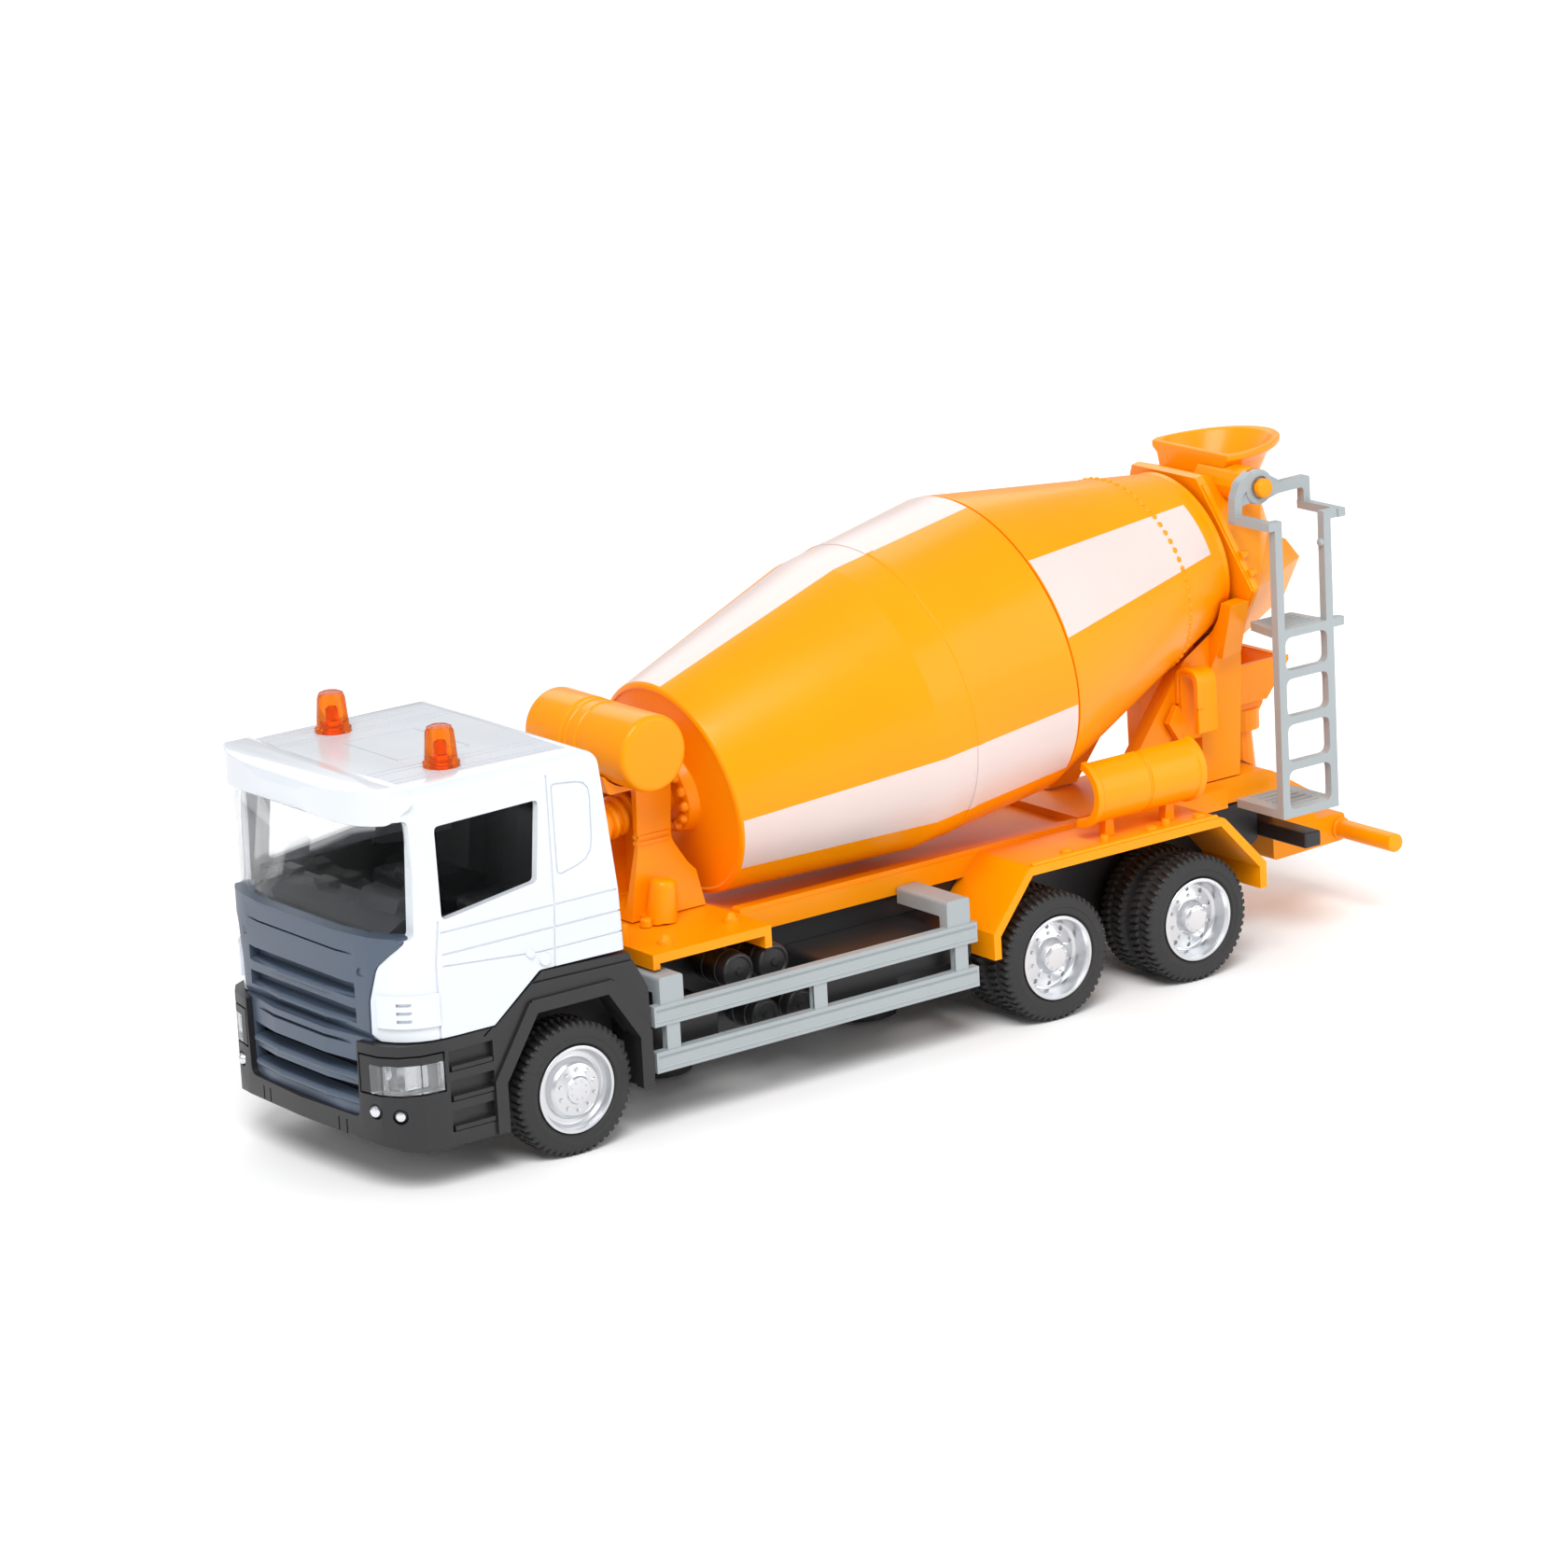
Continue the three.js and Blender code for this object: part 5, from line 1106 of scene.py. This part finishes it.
def ladder_arms():
    """The two arms from the hub, and the bars that step out from them to the rails."""
    front = [(-115.4, 63.3, 1.5), (-113.0, 62.0, 1.5), (-112.2, 60, 2), (-112.0, 56.6, 0.4), (-113.2, 56.6),
             (-113.5, 60.2, 1), (-115.6, 61.4)]
    back = [(-117.4, 62.4), (-119.6, 60.9, 1.5), (-125, 61.0, 0.5), (-125, 56.6, 0.4), (-123.9, 56.6),
            (-123.9, 59.6, 0.6), (-119.6, 59.5, 1.5), (-117.4, 59.0)]
    arms = [prism(outline, "y", *HUB_Y) for outline in (front, back)]
    out = LADDER_Y[1]
    bars = ((-113.3, -112.1, HUB_Y[0], out), (RAILS[0][0], -112.1, LADDER_Y[0], out),
            (-125, -123.8, HUB_Y[0], out + 0.2), (-125, RAILS[1][1], LADDER_Y[0], out))
    return arms + [block((x0, y0, ARM_Z[0]), (x1, y1, ARM_Z[1])) for x0, x1, y0, y1 in bars]


def ladder_platforms():
    """Foot plate at the bottom and the shaped step half way up."""
    front, back = LADDER_FRONT, LADDER_BACK
    low = [(front, 19), (back, 19), (back, 9.8), (front, 9.8)]
    high = [(front, 19), (back - 2, 19, 0.4), (back - 2, 17.8, 0.4), (back + 0.6, 17.2, 0.6),
            (back + 1.2, 12, 0.6), (front - 1.2, 12, 0.6)]
    return [prism(outline, "z", z, z + STEP_THICK) for outline, z in ((low, STEP_LOW_Z), (high, STEP_HIGH_Z))]


def ladder_treads():
    """Fine ridges across both platforms."""
    treads = []
    for floor, y0, y1 in ((STEP_HIGH_Z, 12.8, 17.4), (STEP_LOW_Z, 10.6, 17.2)):
        z = floor + STEP_THICK
        for k in range(6):
            y = y0 + (y1 - y0) * k / 5
            treads.append(block((LADDER_BACK + 2, y - 0.12, z - 0.1), (LADDER_FRONT - 2, y + 0.12, z + 0.12)))
    return treads


def ladder():
    """Hub ring with its web and arms, rails, rungs, platforms and a small knob, bored for its pin."""
    rails = [block((x0, LADDER_Y[0], STEP_HIGH_Z), (x1, LADDER_Y[1], ARM_Z[1])) for x0, x1 in RAILS]
    web = prism([(-113.0, 61.6, 0.6), (-113.3, 58.7, 0.6), (-117.6, 59.4, 2), (-120.6, 60.0), (-120.6, 60.8),
                 (-117.8, 62.4, 1)], "y", HUB_Y[0] + 0.25, HUB_Y[1] - 0.25)
    hub_start = LADDER_PIN + Y * HUB_Y[0]
    hub = lathe([(0, 0), (2.3, 0, 0.3), (2.3, 1.3, 0.3), (0, 1.3)], hub_start, Y, 48)
    knob = lathe([(0, 0), (0.6, 0), (0.5, 0.5, 0.3), (0, 0.6)], (-121.5, 18.4, 53.6), X, 16)
    recess = lathe([(0, 1.0), (1.5, 1.0), (1.5, 3), (0, 3)], hub_start, Y, 40)
    bore = rod(LADDER_PIN, LADDER_PIN + Y * 30, 0.95, 0.95, 32)
    body = join(ladder_frame(), *rails, *ladder_arms(), *ladder_platforms(), web, hub, knob)
    return together(cut(body, recess, bore), *ladder_treads())


stand_in("ladder", ladder(), GREY, bevel=0.28, segments=3, body="ladder")

# ---------------- chassis pieces


def air_tank(side, x, z, radius, far):
    """Cylinder tank lying across the truck, with two straps and a stepped end."""
    length = far - 8.4
    profile = [(0, 0), (1.4, 0), (1.4, 1.2), (radius, 1.2, 0.3)]
    for at in (0.35 * length, 0.68 * length):
        profile += [(radius, at), (radius + 0.12, at + 0.1), (radius + 0.12, at + 0.6), (radius, at + 0.7)]
    profile += [(radius, length - 0.2, 0.4), (radius - 0.45, length, 0.1), (radius - 0.6, length - 0.3, 0.1),
                (0.5, length - 0.2), (0.4, length + 0.05), (0, length + 0.05)]
    return lathe(profile, (x, side * 8.4, z), (0, side, 0), 48, steps=3)


def tail_beam():
    """Block under the back deck with a round bar across it and a collar where each half leaves the block."""
    side = [(-133.8, 9.1, 0.8), (-133.8, 12.9, 0.8), (-129, 12.9, 0.8), (-127.4, 15.4, 1), (-122, 17.6),
            (-121.2, 17.6), (-121.2, 8.7, 0.6)]
    profile = [(0, 0), (1.25, 0, 0.35), (1.25, 10.6), (1.5, 10.8, 0.1), (1.5, 11.4), (1.5, 25.4),
               (1.5, 26.0, 0.1), (1.25, 26.2), (1.25, 36.8, 0.35), (0, 36.8)]
    return join(prism(side, "y", -7.3, 7.3), lathe(profile, (-132.95, -18.4, 10.8), Y, 48, steps=4))


def guard_details(side):
    """Beads along the side guard's rails and pads over its posts."""
    made = []
    for z in (8.1, 9.5, 13.9, 15.3):
        made.append(rod((-61.2, side * 19.75, z), (-12.1, side * 19.75, z), 0.14, 0.14, 10))
    for x in (-14.6, -36.9, -59.0):
        pad = rectangle(x - 1.0, 10.0, x + 1.0, 13.4, 0.3)
        made.append(prism(pad, "y", *side_span(side, 19.2, 19.65)))
    return together(*made)


def add_chassis():
    for name in ("chassis_frame", "underrun_bar"):
        dress(name, BLACK, 0.3)
    stand_in("tail_beam", tail_beam(), YELLOW, bevel=0.25, segments=3)
    for side_name, side in SIDES:
        for i, x in enumerate((-27, -32.4), start=1):
            upper, lower = f"upper_tank_{side_name}_{i}", f"lower_tank_{side_name}_{i}"
            stand_in(upper, air_tank(side, x, 16.4, 2.3, 16.6), BLACK)
            stand_in(lower, air_tank(side, x - 4.3, 9.6, 2.1, 15.8), BLACK)
        dress(f"fuel_tank_{side_name}", BLACK, 0.4, 3)
        dress(f"battery_box_{side_name}", BLACK, 0.3)
        dress(f"side_guard_{side_name}", GREY, 0.3, 3)
        piece(f"guard_details_{side_name}", guard_details(side), GREY, bevel=0.06)
    for i in (1, 2):
        dress(f"base_screw_{i}", STEEL, 0.1)


add_chassis()

# ---------------- floor, light and camera

FLOOR_HALF = 8.0
TRUCK_MIDDLE = Vector((0, 0, 0.03))


def add_floor():
    corners = [(x, y, 0) for x, y, _ in rectangle(-FLOOR_HALF, -FLOOR_HALF, FLOOR_HALF, FLOOR_HALF)]
    mesh = bpy.data.meshes.new("floor")
    mesh.from_pydata(corners, [], [(0, 1, 2, 3)])
    mesh.materials.append(moulded("pale_floor", (252, 252, 252), 0.8, grain=60, bump=0.02, tint=0.005))
    new_object("floor", mesh)


def add_light(name, kind, place, strength):
    """A lamp aimed at the truck's middle."""
    data = bpy.data.lights.new(name, kind)
    data.energy = strength
    lamp = new_object(name, data)
    lamp.location = place
    lamp.rotation_euler = (TRUCK_MIDDLE - Vector(place)).to_track_quat("-Z", "Y").to_euler()
    return data


def add_lights():
    """A soft key light from the camera's side and three large square lamps round the truck."""
    add_light("key", "SUN", (0.35, 0.45, 0.75), 2.35).angle = 0.55
    add_light("fill", "AREA", (-0.5, 0.7, 0.35), 2.1).size = 0.6
    add_light("front", "AREA", (0.8, 0.1, 0.3), 0.8).size = 0.5
    add_light("back", "AREA", (-0.3, -0.6, 0.6), 2.0).size = 0.6


def add_camera():
    azimuth, elevation, roll = math.radians(143.98), math.radians(15.15), math.radians(-3.04)
    back = Vector((
        math.sin(azimuth) * math.cos(elevation),
        -math.cos(azimuth) * math.cos(elevation),
        math.sin(elevation),
    ))
    right = Z.cross(back).normalized()
    up = back.cross(right)
    turned_right = right * math.cos(roll) + up * math.sin(roll)
    turned_up = up * math.cos(roll) - right * math.sin(roll)
    data = bpy.data.cameras.new("camera")
    data.lens = 144.3
    data.sensor_width = 36
    camera = new_object("camera", data)
    pose = Matrix((turned_right, turned_up, back)).transposed().to_4x4()
    pose.translation = (0.4536, 0.6149, 0.2389)
    camera.matrix_world = pose
    bpy.context.scene.camera = camera


add_floor()
add_lights()
add_camera()

world = bpy.data.worlds.new("world")
world.use_nodes = True
world.node_tree.nodes["Background"].inputs["Color"].default_value = (1, 1, 1, 1)
world.node_tree.nodes["Background"].inputs["Strength"].default_value = 0.46
bpy.context.scene.world = world
bpy.context.scene.view_settings.view_transform = "Standard"
